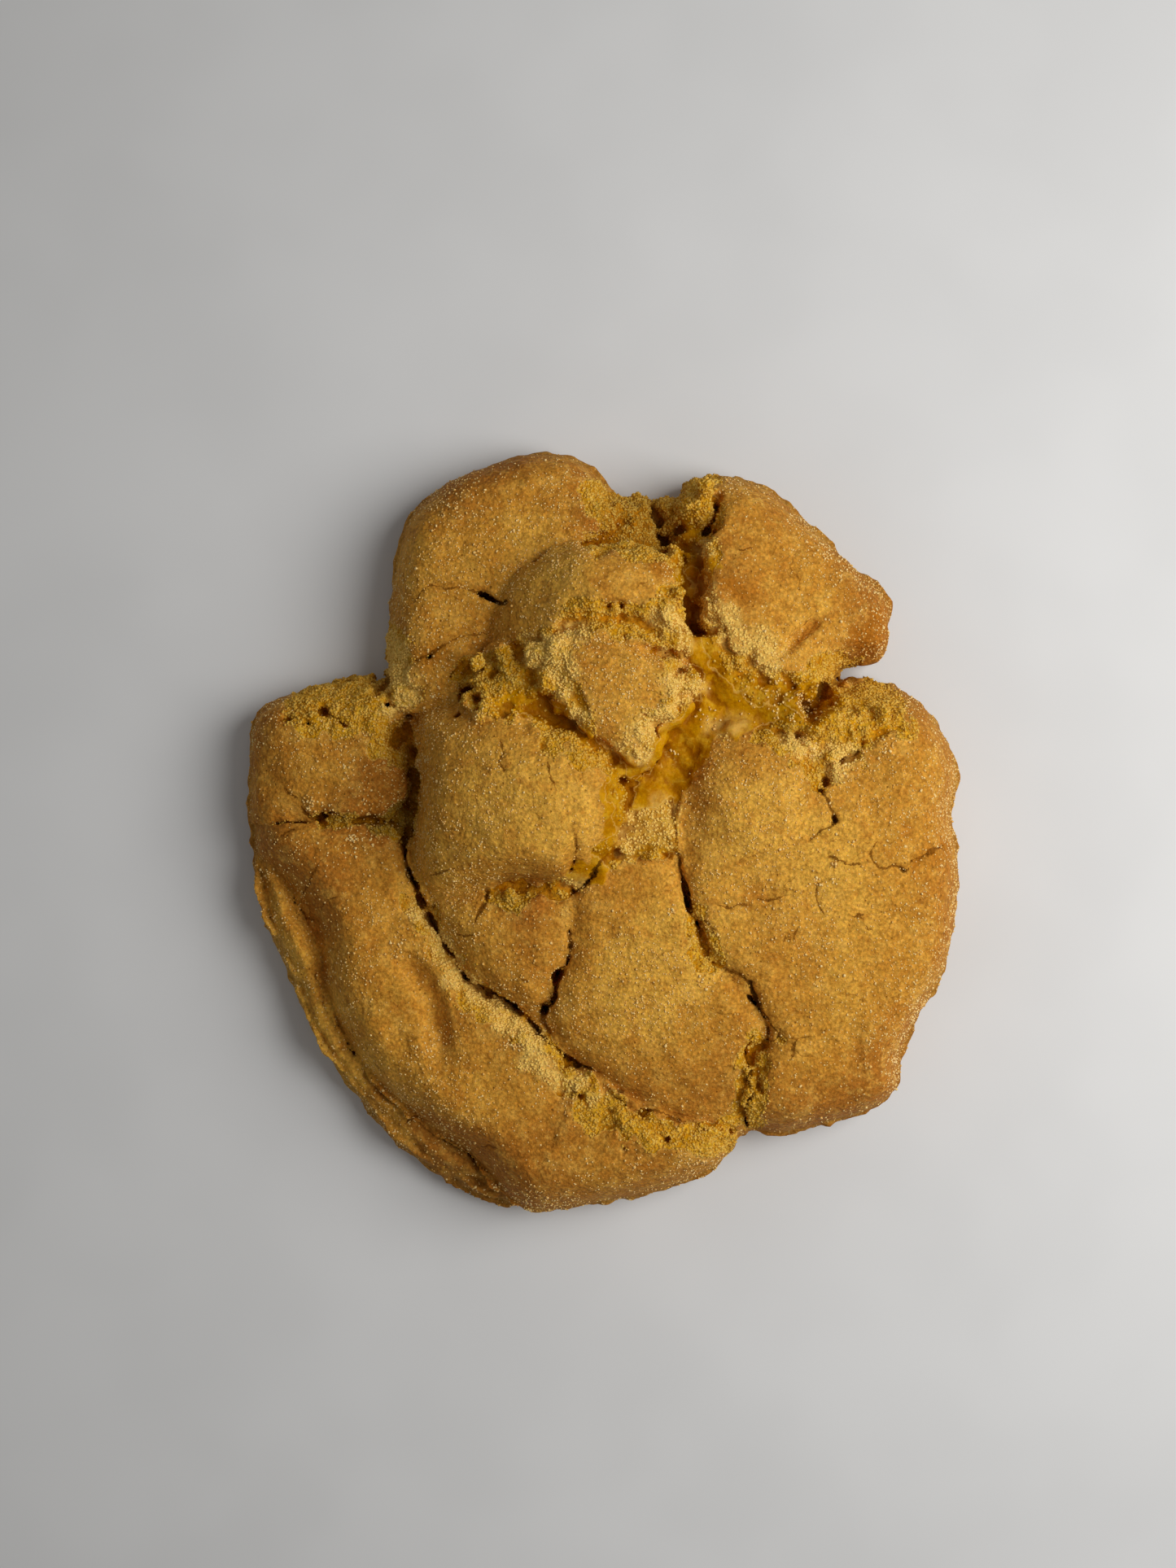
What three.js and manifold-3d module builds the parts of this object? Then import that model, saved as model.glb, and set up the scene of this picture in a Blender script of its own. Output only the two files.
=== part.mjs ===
// A thick round pumpkin sugar cookie, cracked into plates and pushed up in the middle. It is one solid of baked
// dough. Millimetres, +Z up, +X right and +Y away in the view from above. It rests on its flat underside at z = 0.
import * as THREE from "three";
import { mergeVertices } from "three/addons/utils/BufferGeometryUtils.js";
import Module from "manifold-3d";

// Driving dimensions
const BED_TOP = 5.5; // top of the dough left at the bottom of the cracks
const BED_INSET = 1.3; // how far the bed stays inside the rim
const FOOT_INSET = 3; // the flat underside stays this far inside the rim
const PLATE_FOOT = 1.1; // lowest edge of a plate, above the surface the cookie stands on
const BELLY = 3.6; // height of the widest line of the rim
const RIM_EDGE = 6; // height where the rounded rim starts to turn over
const RIM_ROUND = 9; // width of the rounded band inside the rim
const RIM_RISE = 13; // how much that band may climb
const STEP = 3.5; // spacing of the points around a plate
const RING_STEP = 4.6; // spacing of the rings of a plate's top
const CRUMB = 0.95; // size of the crumbs along the torn edges

// The rim seen from above, counterclockwise from the north-west lobe.
const RIM = [
  [-10.5, 53.5], [-20, 50.5], [-27.5, 44], [-29.5, 37], [-30, 30], [-30.5, 22.5], [-39, 21], [-45, 19.5], [-49, 16],
  [-50, 8], [-50, -2], [-48, -12], [-45, -19.5], [-40.5, -29], [-36, -36.5], [-30.5, -43], [-24, -48.5],
  [-17, -51.8], [-9.5, -53.6], [-1, -52.5], [8, -50.5], [15.5, -47], [18.5, -43.5], [25, -42.5], [31, -41],
  [37.5, -39], [41, -35], [42, -30.5], [44.5, -25.5], [48, -19], [49.5, -11.5], [50, -4], [48.7, 3], [49.8, 8.5],
  [48.2, 13.5], [44.5, 18.5], [39, 21.2], [35, 22.3], [38.5, 24.5], [40.2, 29], [40, 33], [35.5, 37.3],
  [29, 43], [23.5, 47.5], [17.5, 50], [13.5, 50.2], [10.5, 48], [6, 47.5], [1.8, 47.2], [-1, 50], [-5, 52.8],
];

// Plates. outline: seen from above; centre and top: the middle and its height; tilt: rise per millimetre along
// x and y; dome: fall with the square of the distance; drop and round: how far and over what width the edge falls
// to the east, north, west and south; ragged: how torn the outline is; foot: underside, where it hangs free.
const PLATES = {
  north_west: {
    outline: [[-27.5, 44], [-20, 50.3], [-9.5, 53.2], [-4.5, 52.5], [1.5, 47], [0.3, 43.5], [-6, 39], [-12.5, 34],
      [-15.5, 28.5], [-18.5, 21.5], [-24, 17.6], [-30, 20.5], [-30.3, 27], [-29.3, 36]],
    centre: [-18, 35], top: 14, tilt: [0.04, -0.05], dome: 0.003, drop: [1, 1, 1, 1.5], round: 2, ragged: 0.15,
  },
  north_bed: {
    outline: [[-1, 47], [3, 47.3], [8, 47.4], [10.8, 47.3], [14.5, 41.5], [13, 35], [4, 34.5], [-3, 39.5]],
    centre: [5.5, 42], top: 9.5, tilt: [-0.1, 0], dome: 0, drop: [1, 1.5, 1, 1], round: 2, ragged: 0.7,
  },
  north_crumb: {
    outline: [[10.3, 47.2], [11.8, 49.4], [14, 50.2], [16.4, 49.8], [17, 46.5], [16, 43.5], [13, 42.4], [10, 45]],
    centre: [13.6, 46.4], top: 13.8, tilt: [-0.1, -0.1], dome: 0.05, drop: [1.5, 1, 2, 1.5], round: 1.5,
    ragged: 0.5,
  },
  north_east: {
    outline: [[17, 49.8], [23.5, 47.5], [31.5, 41], [40, 33.2], [39.8, 26.5], [36.2, 23], [31, 21.5], [25, 19.8],
      [17.5, 23], [13.2, 30], [14, 38], [16.2, 44.5]],
    centre: [25, 34], top: 15.2, tilt: [-0.4, -0.2], dome: 0.004, drop: [1, 1, 0.8, 2], round: 1.5, ragged: 0.35,
  },
  middle_top: {
    outline: [[-14.5, 31], [-10, 36.5], [-3, 39.2], [4, 39.2], [10.2, 38.5], [10.2, 31], [10.2, 26], [4, 26],
      [-4.5, 25.6], [-12.5, 25], [-15.5, 27.5]],
    centre: [-1, 32], top: 23.8, tilt: [0.16, -0.4], dome: 0.043, drop: [1, 2.5, 1.5, 1.2], round: 2.5,
    ragged: 0.35,
  },
  interior: {
    outline: [[10.5, 28], [14, 27.5], [17.5, 23], [22, 20.5], [28.5, 20], [29, 15.5], [20.5, 13.5], [13, 9],
      [10.5, -1.5], [3, -3], [-1, -1], [1, 8], [5, 14], [9, 22]],
    centre: [13, 16], top: 17.2, tilt: [-0.06, 0.08], dome: -0.002, drop: [3, 1, 1, 1], round: 3, ragged: 0.4,
  },
  flap_end: {
    outline: [[-18.5, 21], [-17, 23.6], [-13, 25], [-8, 24], [-5, 21.5], [-6, 18.4], [-12.5, 18.4], [-17.5, 19]],
    centre: [-12, 21.5], top: 20, tilt: [0.25, 0], dome: 0.02, drop: [1, 1.5, 2.5, 2], round: 2, ragged: 0.7,
  },
  west_dome: {
    outline: [[-25.5, 17], [-20, 18.2], [-11, 17.6], [-2.5, 13.7], [2.5, 7.5], [2.5, 2], [-3, -5], [-9, -6.4],
      [-16, -7.5], [-24, -9.5], [-27, -3], [-26, 4.5], [-26.2, 12]],
    centre: [-11, 5.5], top: 25.8, tilt: [0.12, 0], dome: 0.022, drop: [2, 3, 8, 5], round: 5, ragged: 0.15,
  },
  flap: {
    outline: [[-9.5, 24.6], [-3, 26.1], [2.5, 25.6], [8, 24.6], [12.4, 19.6], [9, 15.5], [4.6, 10.6], [0, 13],
      [-4.5, 17], [-6.5, 21.2]],
    centre: [1.5, 19.2], top: 25.6, tilt: [-0.22, 0.02], dome: 0.02, drop: [2, 1.2, 0.8, 0.8], round: 2,
    ragged: 0.35, foot: 19.2,
  },
  south_west_inner: {
    outline: [[-16, -7.5], [-10, -6], [-4.6, -7], [-4.8, -15.5], [-8, -23.3], [-11.5, -23.5], [-19.5, -18.5],
      [-25, -10], [-20.5, -8.5]],
    centre: [-13.5, -14], top: 18, tilt: [0.12, 0.1], dome: 0.012, drop: [0.8, 1.5, 5, 3], round: 3, ragged: 0.2,
  },
  south: {
    outline: [[-3.9, -7], [-0.5, -3.5], [4, -2], [9.4, -3], [10.6, -8.5], [14, -17], [20.6, -25.5], [19, -31],
      [19, -41], [9, -38.8], [-2, -32], [-7, -25], [-4.2, -15.5]],
    centre: [6, -18], top: 18.8, tilt: [0, 0.1], dome: 0.008, drop: [0.8, 1.5, 0.8, 1.8], round: 2.5, ragged: 0.3,
  },
  east: {
    outline: [[11, 3], [12, 8.5], [16, 13.4], [27, 13.5], [29.4, 16.4], [34.5, 21], [39, 21], [45.5, 16.8],
      [49.6, 8], [48.5, 3], [49.8, -4], [49, -12], [44, -25.5], [41.2, -34], [37, -38.8], [21, -41.6],
      [20.8, -31.5], [25, -27.5], [20, -19.5], [14, -12]],
    centre: [29, -9], top: 17.6, tilt: [-0.1, 0.06], dome: 0.002, drop: [0.8, 2, 0.8, 1], round: 2, ragged: 0.3,
  },
  east_bulge: {
    outline: [[13, 4], [14, 9.5], [18.5, 12.8], [25, 11.5], [28, 6], [26, -1], [20, -3.5], [14.5, -1.5]],
    centre: [19.8, 4.6], top: 20.4, tilt: [0, 0.02], dome: 0.012, drop: [2.5, 2, 2, 3], round: 4.5, ragged: 0.1,
  },
  west: {
    outline: [[-48.5, 16.5], [-44.5, 19], [-38, 20.7], [-30.5, 20.6], [-28.6, 16], [-28.6, 10], [-27.2, 3.5],
      [-29, 1.4], [-35, 2.9], [-42, 3.2], [-49.7, 3.3], [-49.8, 10]],
    centre: [-37.5, 10.5], top: 13, tilt: [0.04, -0.02], dome: 0.003, drop: [1.5, 2.5, 1, 0.8], round: 2.5,
    ragged: 0.4,
  },
};

// Long lobes, each a run of sections from its outer edge to its inner edge; taper: both ends thin out.
const LOBES = {
  south_west: {
    sections: [
      [[-49.5, 2], [-28, 0]], [[-49, -3], [-27.7, -4]], [[-46.5, -7], [-26, -8]], [[-43.5, -10.8], [-24, -12]],
      [[-41.5, -15.5], [-21.8, -15.5]], [[-40.5, -20.5], [-19.3, -19.2]], [[-38.8, -26.5], [-16.5, -22.4]],
      [[-35.5, -32.5], [-11.5, -25]], [[-31, -37.5], [-9, -27.2]], [[-25.5, -42.5], [-6, -31]],
      [[-19, -46.5], [-2.5, -34.2]], [[-11.5, -52.5], [2, -37]], [[-3.5, -52.8], [6, -39.6]],
      [[5.5, -50.8], [10.5, -41]], [[13.5, -48], [14.5, -42]], [[17.6, -44.6], [17, -42.6]],
    ],
    top: 15.2, outer: 4.5, inner: 2.2, round: 6, foot: PLATE_FOOT,
  },
  lip_lower: {
    sections: [
      [[-49, -6], [-44.5, -6.5]], [[-48.6, -10], [-42.5, -10.5]], [[-47, -14.5], [-39.5, -14]],
      [[-45.2, -19], [-38, -18.5]], [[-42.8, -25], [-37, -23]], [[-39.4, -31.5], [-33.5, -29]],
      [[-35.6, -37], [-29.5, -33]], [[-31.2, -42.2], [-25.5, -37]], [[-27, -46.4], [-21, -41]],
      [[-22, -49.3], [-16.5, -43]], [[-16.8, -51.7], [-12.5, -46]], [[-12.4, -52.4], [-10, -48]],
    ],
    top: 4.6, outer: 1.6, inner: 0, round: 2, foot: 0.9, taper: true,
  },
  lip_upper: {
    sections: [
      [[-47.6, -8], [-44, -8]], [[-46.8, -11.5], [-41.5, -11.5]], [[-45, -15], [-39.5, -14.6]],
      [[-43.6, -19.6], [-38, -19]], [[-41.3, -25.4], [-37, -24]], [[-37.9, -31.3], [-33.5, -29]],
      [[-34, -36.3], [-29.5, -33]], [[-29.8, -41], [-25.5, -37]], [[-25.4, -45], [-21, -41]],
      [[-20.6, -47.8], [-16.5, -43]], [[-15.6, -50.2], [-12.5, -46]],
    ],
    top: 7.4, outer: 1.4, inner: 0, round: 1.6, foot: 3, taper: true,
  },
};

// Cracks: a line seen from above, its width at the surface and the height of its bottom.
const CRACKS = [
  { line: [[-13.5, 31.2], [-16, 32.5], [-18.6, 34]], width: 1.1, bottom: 6 },
  { line: [[-18.4, 33.9], [-21.5, 34.1], [-24.5, 34.5], [-26.5, 32.6]], width: 0.45, bottom: 11.5 },
  { line: [[-15.4, 28.6], [-18, 27.6], [-22, 26.6], [-26.5, 24]], width: 0.7, bottom: 11 },
  { line: [[-16, -6.6], [-16.2, -9], [-17.2, -11], [-17.6, -13], [-20.5, -13.1]], width: 0.6, bottom: 13 },
  { line: [[-16.5, -4], [-19.5, -5], [-22.5, -6.5]], width: 0.4, bottom: 16 },
  { line: [[27, 0], [29, 1], [30.6, 2.6], [30, 4.6], [28.5, 7]], width: 0.8, bottom: 12 },
  { line: [[35, -2], [37, -4], [40, -4], [41.6, -4.6], [44, -3.4], [50.5, -2.4]], width: 0.7, bottom: 8 },
  { line: [[36.4, 14.4], [34.5, 11.6], [32.6, 10.2], [29.6, 9.4]], width: 0.8, bottom: 12 },
  { line: [[-42.6, -8.6], [-40.2, -6.6], [-40, -5], [-38.4, -3]], width: 0.7, bottom: 9 },
  { line: [[-42.6, -12], [-40.5, -10.1], [-36.6, -8.3]], width: 0.6, bottom: 9 },
  { line: [[20.2, -28.2], [22.5, -28.3], [25.6, -27.8], [27, -28.6]], width: 0.7, bottom: 9 },
];

// Soft dents pressed into the top: a line seen from above, half the width, the depth and the height of the surface.
const DENTS = [
  { line: [[-26, -16], [-22.8, -20.5], [-21.4, -24], [-21.6, -31]], half: 3, depth: 2, top: 15.1 },
  { line: [[31, 29.5], [27, 28], [24.6, 25.4], [20.5, 23]], half: 2, depth: 1.3, top: 15.2 },
];

// Pits torn into the dough: [x, y, bottom of the pit, radius across, radius upwards].
const PITS = [
  [8.6, 42.6, 3.4, 2.3, 6], [11.2, 40.6, 3.4, 2, 6], [15.9, 46.2, 9.2, 1.6, 5], [15.2, 43.6, 7, 1.3, 5],
  [30.8, 18, 6.5, 2.6, 10], [33.6, 20.6, 5, 1.7, 6],
];

// Torn edges that carry loose-looking crumbs fused to the dough: [line, height of the edge].
const TORN = [
  [[[-44, 18.5], [-38, 20], [-31, 19.5]], 11.4], [[[-43, 14.5], [-36, 15.8], [-30.5, 12]], 13.2],
  [[[-30.2, 21], [-30, 24.5], [-30.2, 28]], 9.5], [[[0, 45.5], [4, 46.4], [8.5, 46]], 9.2],
  [[[12.6, 29.5], [13.6, 34], [13.8, 38], [15, 41.5]], 18.6], [[[-11, 25.6], [-3, 26.6], [4, 26.6], [9, 27]], 23],
  [[[-17.6, 21.5], [-15, 19.4], [-9, 18.9]], 18.4], [[[-4, -34.6], [1, -37.2], [8, -40.6], [15, -42]], 12.4],
  [[[-11.6, -24.7], [-9, -26.4], [-7, -29]], 12.6], [[[29.5, 15.6], [34, 18.6], [39, 19]], 11.5],
  [[[24, 12.6], [29, 11.4], [33, 13.4]], 15.2], [[[-27, -4.6], [-25, -9], [-22.4, -14]], 11.6],
];

const wasm = await Module();
wasm.setup();

// Seeded random numbers from 0 to 1.
let state = 20241;
function random() {
  state = (state * 1664525 + 1013904223) % 4294967296;
  return state / 4294967296;
}

// A triangle mesh as a solid.
function solid(points, triangles) {
  const geometry = new THREE.BufferGeometry();
  geometry.setAttribute("position", new THREE.Float32BufferAttribute(points.flat(), 3));
  geometry.setIndex(triangles.flat());
  const merged = mergeVertices(geometry, 1e-4);
  return new wasm.Manifold(new wasm.Mesh({
    numProp: 3,
    vertProperties: merged.attributes.position.array,
    triVerts: new Uint32Array(merged.index.array),
  }));
}

// Rings of points joined in order and closed by a point at each end, with the faces turned out.
function loft(rings, first, last) {
  const count = rings[0].length;
  const points = [...rings.flat(), first, last];
  const triangles = [];
  for (let i = 0; i < count; i++) {
    const j = (i + 1) % count;
    triangles.push([rings.length * count, j, i]);
    for (let k = 0; k + 1 < rings.length; k++) {
      const a = k * count, b = a + count;
      triangles.push([a + i, a + j, b + i], [a + j, b + j, b + i]);
    }
    const top = (rings.length - 1) * count;
    triangles.push([rings.length * count + 1, top + i, top + j]);
  }
  return solid(points, triangles);
}

// The same, closed by the middle of the first and of the last ring, whichever way round they run.
function openLoft(rings) {
  const middleOf = (ring) => [0, 1, 2].map((k) => ring.reduce((sum, p) => sum + p[k], 0) / ring.length);
  const made = loft(rings, middleOf(rings[0]), middleOf(rings[rings.length - 1]));
  return made.volume() > 0 ? made : loft(rings.reverse(), middleOf(rings[0]), middleOf(rings[rings.length - 1]));
}

// A closed smooth line through the given points, as evenly spaced points, counterclockwise.
function closedLine(outline, count) {
  const curve = new THREE.CatmullRomCurve3(outline.map(([x, y]) => new THREE.Vector3(x, y, 0)), true, "centripetal");
  const line = curve.getSpacedPoints(count).slice(0, count).map((p) => new THREE.Vector2(p.x, p.y));
  return THREE.ShapeUtils.area(line) < 0 ? line.reverse() : line;
}

function distanceToLine(p, line, closed) {
  let best = Infinity;
  for (let i = closed ? 0 : 1; i < line.length; i++) {
    const a = line[(i + line.length - 1) % line.length], b = line[i];
    const dx = b.x - a.x, dy = b.y - a.y;
    const t = THREE.MathUtils.clamp(((p.x - a.x) * dx + (p.y - a.y) * dy) / (dx * dx + dy * dy || 1), 0, 1);
    best = Math.min(best, Math.hypot(p.x - a.x - t * dx, p.y - a.y - t * dy));
  }
  return best;
}

const rim = closedLine(RIM, 160);

// The highest the rounded rim lets the dough be, from the distance to the rim.
function rimLimit(p) {
  const near = distanceToLine(p, rim, true) / RIM_ROUND;
  return near > 1 ? Infinity : RIM_EDGE + RIM_RISE * (1 - (1 - near) ** 2);
}

// A small uneven swell of the surface.
function swell(x, y) {
  return 0.25 * Math.sin(0.61 * x + 1.3) * Math.cos(0.53 * y) + 0.16 * Math.sin(1.15 * x - 0.9 * y);
}

// The value of a four-way setting (east, north, west, south) in the direction of a vector.
function toward([east, north, west, south], dx, dy) {
  const r = dx * dx + dy * dy || 1;
  return ((dx > 0 ? east : west) * dx * dx + (dy > 0 ? north : south) * dy * dy) / r;
}

function plate({ outline, centre, top, tilt, dome, drop, round, ragged, foot }) {
  const middle = new THREE.Vector2(...centre);
  const length = closedLine(outline, 60).reduce((sum, p, i, all) => sum + p.distanceTo(all[(i + 1) % 60]), 0);
  const edge = closedLine(outline, Math.round(length / STEP)).map((p) => {
    const out = p.clone().sub(middle);
    return middle.clone().add(out.setLength(out.length() + ragged * (random() * 2 - 1)));
  });
  const height = (p) => {
    const dx = p.x - middle.x, dy = p.y - middle.y;
    const near = Math.min(1, distanceToLine(p, edge, true) / round);
    const plain = top + tilt[0] * dx + tilt[1] * dy - dome * (dx * dx + dy * dy);
    return Math.min(plain - toward(drop, dx, dy) * (1 - near) ** 2 + swell(p.x, p.y), rimLimit(p));
  };
  const low = foot ?? PLATE_FOOT;
  const reach = edge.reduce((sum, p) => sum + p.distanceTo(middle), 0) / edge.length;
  const inner = Math.max(1, Math.round(reach / RING_STEP));
  const levels = [1, 1 - 0.9 / reach, ...Array.from({ length: inner }, (_, k) => 0.8 * (1 - k / inner))];
  const inset = (p, by) => p.clone().sub(middle).multiplyScalar(1 - by / p.distanceTo(middle)).add(middle);
  const rings = [
    edge.map((p) => [...inset(p, foot ? 3.5 : 1.1), low]),
    edge.map((p) => [...inset(p, foot ? 0.9 : 0.1), foot ? foot + 1 : BELLY]),
    ...levels.map((t) => edge.map((e) => {
      const p = middle.clone().lerp(e, t);
      return [p.x, p.y, height(p)];
    })),
  ];
  return loft(rings, [...centre, low], [...centre, height(middle)]);
}

function lobe({ sections, top, outer, inner, round, foot, taper }) {
  const across = [0, 0.08, 0.22, 0.42, 0.68, 0.9, 1];
  const curves = [0, 1].map((side) =>
    new THREE.CatmullRomCurve3(sections.map((s) => new THREE.Vector3(...s[side], 0))));
  const count = 24;
  const rings = [];
  for (let i = 0; i <= count; i++) {
    const [a, b] = curves.map((curve) => curve.getPoint(i / count));
    const width = a.distanceTo(b);
    const end = Math.min(1, 6 * Math.min(i, count - i) / count + 0.35);
    const low = [a.clone().lerp(b, 1.2 / width), a.clone().lerp(b, 0.1 / width)];
    const ring = [[low[0].x, low[0].y, foot], [low[1].x, low[1].y, foot + 0.45 * (Math.min(top, RIM_EDGE) - foot)]];
    for (const t of across) {
      const p = a.clone().lerp(b, t);
      const nearOuter = Math.min(1, (t * width) / round), nearInner = Math.min(1, ((1 - t) * width) / (0.5 * round));
      const z = top - outer * (1 - nearOuter) ** 2 - inner * (1 - nearInner) ** 2 + swell(p.x, p.y);
      ring.push([p.x, p.y, taper ? foot + (z - foot) * end : Math.min(z, rimLimit(p))]);
    }
    ring.push([b.x, b.y, foot]);
    rings.push(ring.reverse());
  }
  return openLoft(rings);
}

// A cutter along a line: section gives its outline across the line at a share t of the way along.
function cutter(line, perPoint, section) {
  const curve = new THREE.CatmullRomCurve3(line.map(([x, y]) => new THREE.Vector3(x, y, 0)));
  const count = Math.round(perPoint * line.length);
  const rings = [];
  for (let i = 0; i <= count; i++) {
    const p = curve.getPoint(i / count), along = curve.getTangent(i / count);
    rings.push(section(i / count).map(([across, z]) => [p.x - along.y * across, p.y + along.x * across, z]));
  }
  return openLoft(rings);
}

// A crack, tapered to a point at both ends and ragged on the way.
function crack({ line, width, bottom }) {
  return cutter(line, 1.4, (t) => {
    const half = 0.7 * width * (0.25 + Math.sin(Math.PI * t)) * (0.85 + 0.4 * random());
    const shift = (random() - 0.5) * 0.3;
    return [[shift - half, 32], [shift - 0.12, bottom], [shift + 0.12, bottom], [shift + half, 32]];
  });
}

// A soft dent with a round bottom.
function dent({ line, half, depth, top }) {
  return cutter(line, 2.2, (t) => {
    const size = Math.sqrt(Math.sin(Math.PI * (0.06 + 0.88 * t)));
    const round = [-1, -0.7, -0.3, 0.3, 0.7, 1].map((u) => [u * half * size, top + 0.4 - depth * size * (1 - u * u)]);
    return [[-1.5 * half * size, 32], ...round, [1.5 * half * size, 32]];
  });
}

// A round lump, or the hollow it leaves.
function ball(x, y, z, across, up, detail, rough) {
  const geometry = mergeVertices(new THREE.IcosahedronGeometry(1, detail).deleteAttribute("normal")
    .deleteAttribute("uv"), 1e-4);
  const at = geometry.attributes.position;
  const points = [];
  for (let i = 0; i < at.count; i++) {
    const scale = 1 + rough * (random() * 2 - 1);
    points.push([x + across * scale * at.getX(i), y + across * scale * at.getY(i), z + up * scale * at.getZ(i)]);
  }
  const index = [...geometry.index.array];
  return solid(points, index);
}

function bed() {
  const middle = new THREE.Vector2(2, -2);
  const edge = closedLine(RIM, 60);
  const inset = (p, by) => p.clone().sub(middle).multiplyScalar(1 - by / p.distanceTo(middle)).add(middle);
  const rings = [
    edge.map((p) => [...inset(p, FOOT_INSET), 0]),
    edge.map((p) => [...inset(p, BED_INSET), 1.4]),
    edge.map((p) => [...inset(p, BED_INSET + 0.3), BED_TOP - 0.8]),
    edge.map((p) => [...inset(p, 6), BED_TOP + swell(p.x, p.y)]),
  ];
  return loft(rings, [...middle, 0], [...middle, BED_TOP]);
}

function crumbs() {
  const made = [];
  for (const [line, height] of TORN) {
    const curve = new THREE.CatmullRomCurve3(line.map(([x, y]) => new THREE.Vector3(x, y, 0)));
    const count = Math.round(curve.getLength() / 3.4);
    for (let i = 0; i <= count; i++) {
      const p = curve.getPoint(i / count);
      const size = CRUMB * (0.65 + 0.7 * random());
      made.push(ball(p.x + random() - 0.5, p.y + random() - 0.5, height - 0.5 * size, size, size, 0, 0.25));
    }
  }
  return made;
}

let body = bed();
for (const [name, setting] of Object.entries(PLATES)) body = body.add(plate(setting));
for (const setting of Object.values(LOBES)) body = body.add(lobe(setting));
for (const lump of crumbs()) body = body.add(lump);
for (const setting of CRACKS) body = body.subtract(crack(setting));
for (const setting of DENTS) body = body.subtract(dent(setting));
for (const [x, y, bottom, across, up] of PITS) body = body.subtract(ball(x, y, bottom + up, across, up, 1, 0.12));
body = body.decompose().sort((a, b) => b.volume() - a.volume())[0];

// The part's origin is under the middle of its outline.
const box = body.boundingBox();
body = body.translate([-(box.min[0] + box.max[0]) / 2, -(box.min[1] + box.max[1]) / 2, -box.min[2]]);

const mesh = body.getMesh();
const geometry = new THREE.BufferGeometry();
geometry.setAttribute("position", new THREE.BufferAttribute(mesh.vertProperties, 3));
geometry.setIndex(new THREE.BufferAttribute(mesh.triVerts, 1));

const cookie = new THREE.Mesh(geometry, new THREE.MeshStandardMaterial({
  name: "baked_dough", color: new THREE.Color(0xbd8436), roughness: 0.72, metalness: 0,
}));
cookie.name = "cookie";

const group = new THREE.Group();
group.name = "pumpkin_sugar_cookie";
group.add(cookie);
export default group;
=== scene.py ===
import bmesh
import bpy
import numpy as np
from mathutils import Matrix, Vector


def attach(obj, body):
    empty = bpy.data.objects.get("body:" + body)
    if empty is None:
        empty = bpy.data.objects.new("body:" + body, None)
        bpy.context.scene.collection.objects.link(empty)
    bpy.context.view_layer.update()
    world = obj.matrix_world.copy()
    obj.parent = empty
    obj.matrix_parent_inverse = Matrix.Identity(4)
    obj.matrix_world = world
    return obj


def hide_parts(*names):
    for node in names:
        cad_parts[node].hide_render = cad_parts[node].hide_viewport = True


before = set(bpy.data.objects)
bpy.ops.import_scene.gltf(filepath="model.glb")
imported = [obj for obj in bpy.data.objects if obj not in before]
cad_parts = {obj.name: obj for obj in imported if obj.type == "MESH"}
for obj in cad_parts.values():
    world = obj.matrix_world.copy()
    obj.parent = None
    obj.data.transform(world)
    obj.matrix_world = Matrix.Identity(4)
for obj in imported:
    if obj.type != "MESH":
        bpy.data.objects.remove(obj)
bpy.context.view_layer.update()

# ---------------------------------------------------------------- sizes, in millimetres
PITCH = 0.34  # spacing of the grid that the dough is worked out on
FACES = 190000                        # most triangles in the finished dough
BED_TOP, BED_RISE = 5.0, 7.5          # dough left at the bottom of the cracks, and its rise inwards
BED_INSET = 1.2                       # how far that dough stays inside the rim
GROW = 0.55                           # how far each plate reaches past its outline, to close the seams
FLARE, FLARE_DEPTH = 0.05, 9          # how much a side leans out per millimetre down, and over what depth
EDGE_ROUND = 0.55                     # how softly a top turns over into its side
RIM_EDGE, RIM_RISE = 6.0, 13.0        # height of the dough at the rim, and how much it rises inside
RIM_ROUND = 9.0                       # width of the band in which it rises
FOOT_INSET, FOOT_HEIGHT = 2.8, 3.6    # how far and how high the lower edge turns in
CRUST = 0.3                           # step down from the crust to the torn crumb
BIG_CRUMB, SMALL_CRUMB = 1.7, 0.85    # width of the lumps in the torn crumb
CAVITY_REACH = 3                      # how many cells of the grid around a point show that it is in a hollow

# Scattered grains: how many, and half the width of the smallest and the largest.
SUGAR_COUNT, SUGAR_SIZE = 14500, (0.06, 0.135)
CRUST_COARSE, WET_COARSE, COARSE_SIZE = 500, 70, (0.1, 0.2)
CRUMB_COUNT, CRUMB_SIZE = 22000, (0.13, 0.36)
LOWEST_GRAIN = 0.8                    # height below which no fine sugar and no crumbs are placed

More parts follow.
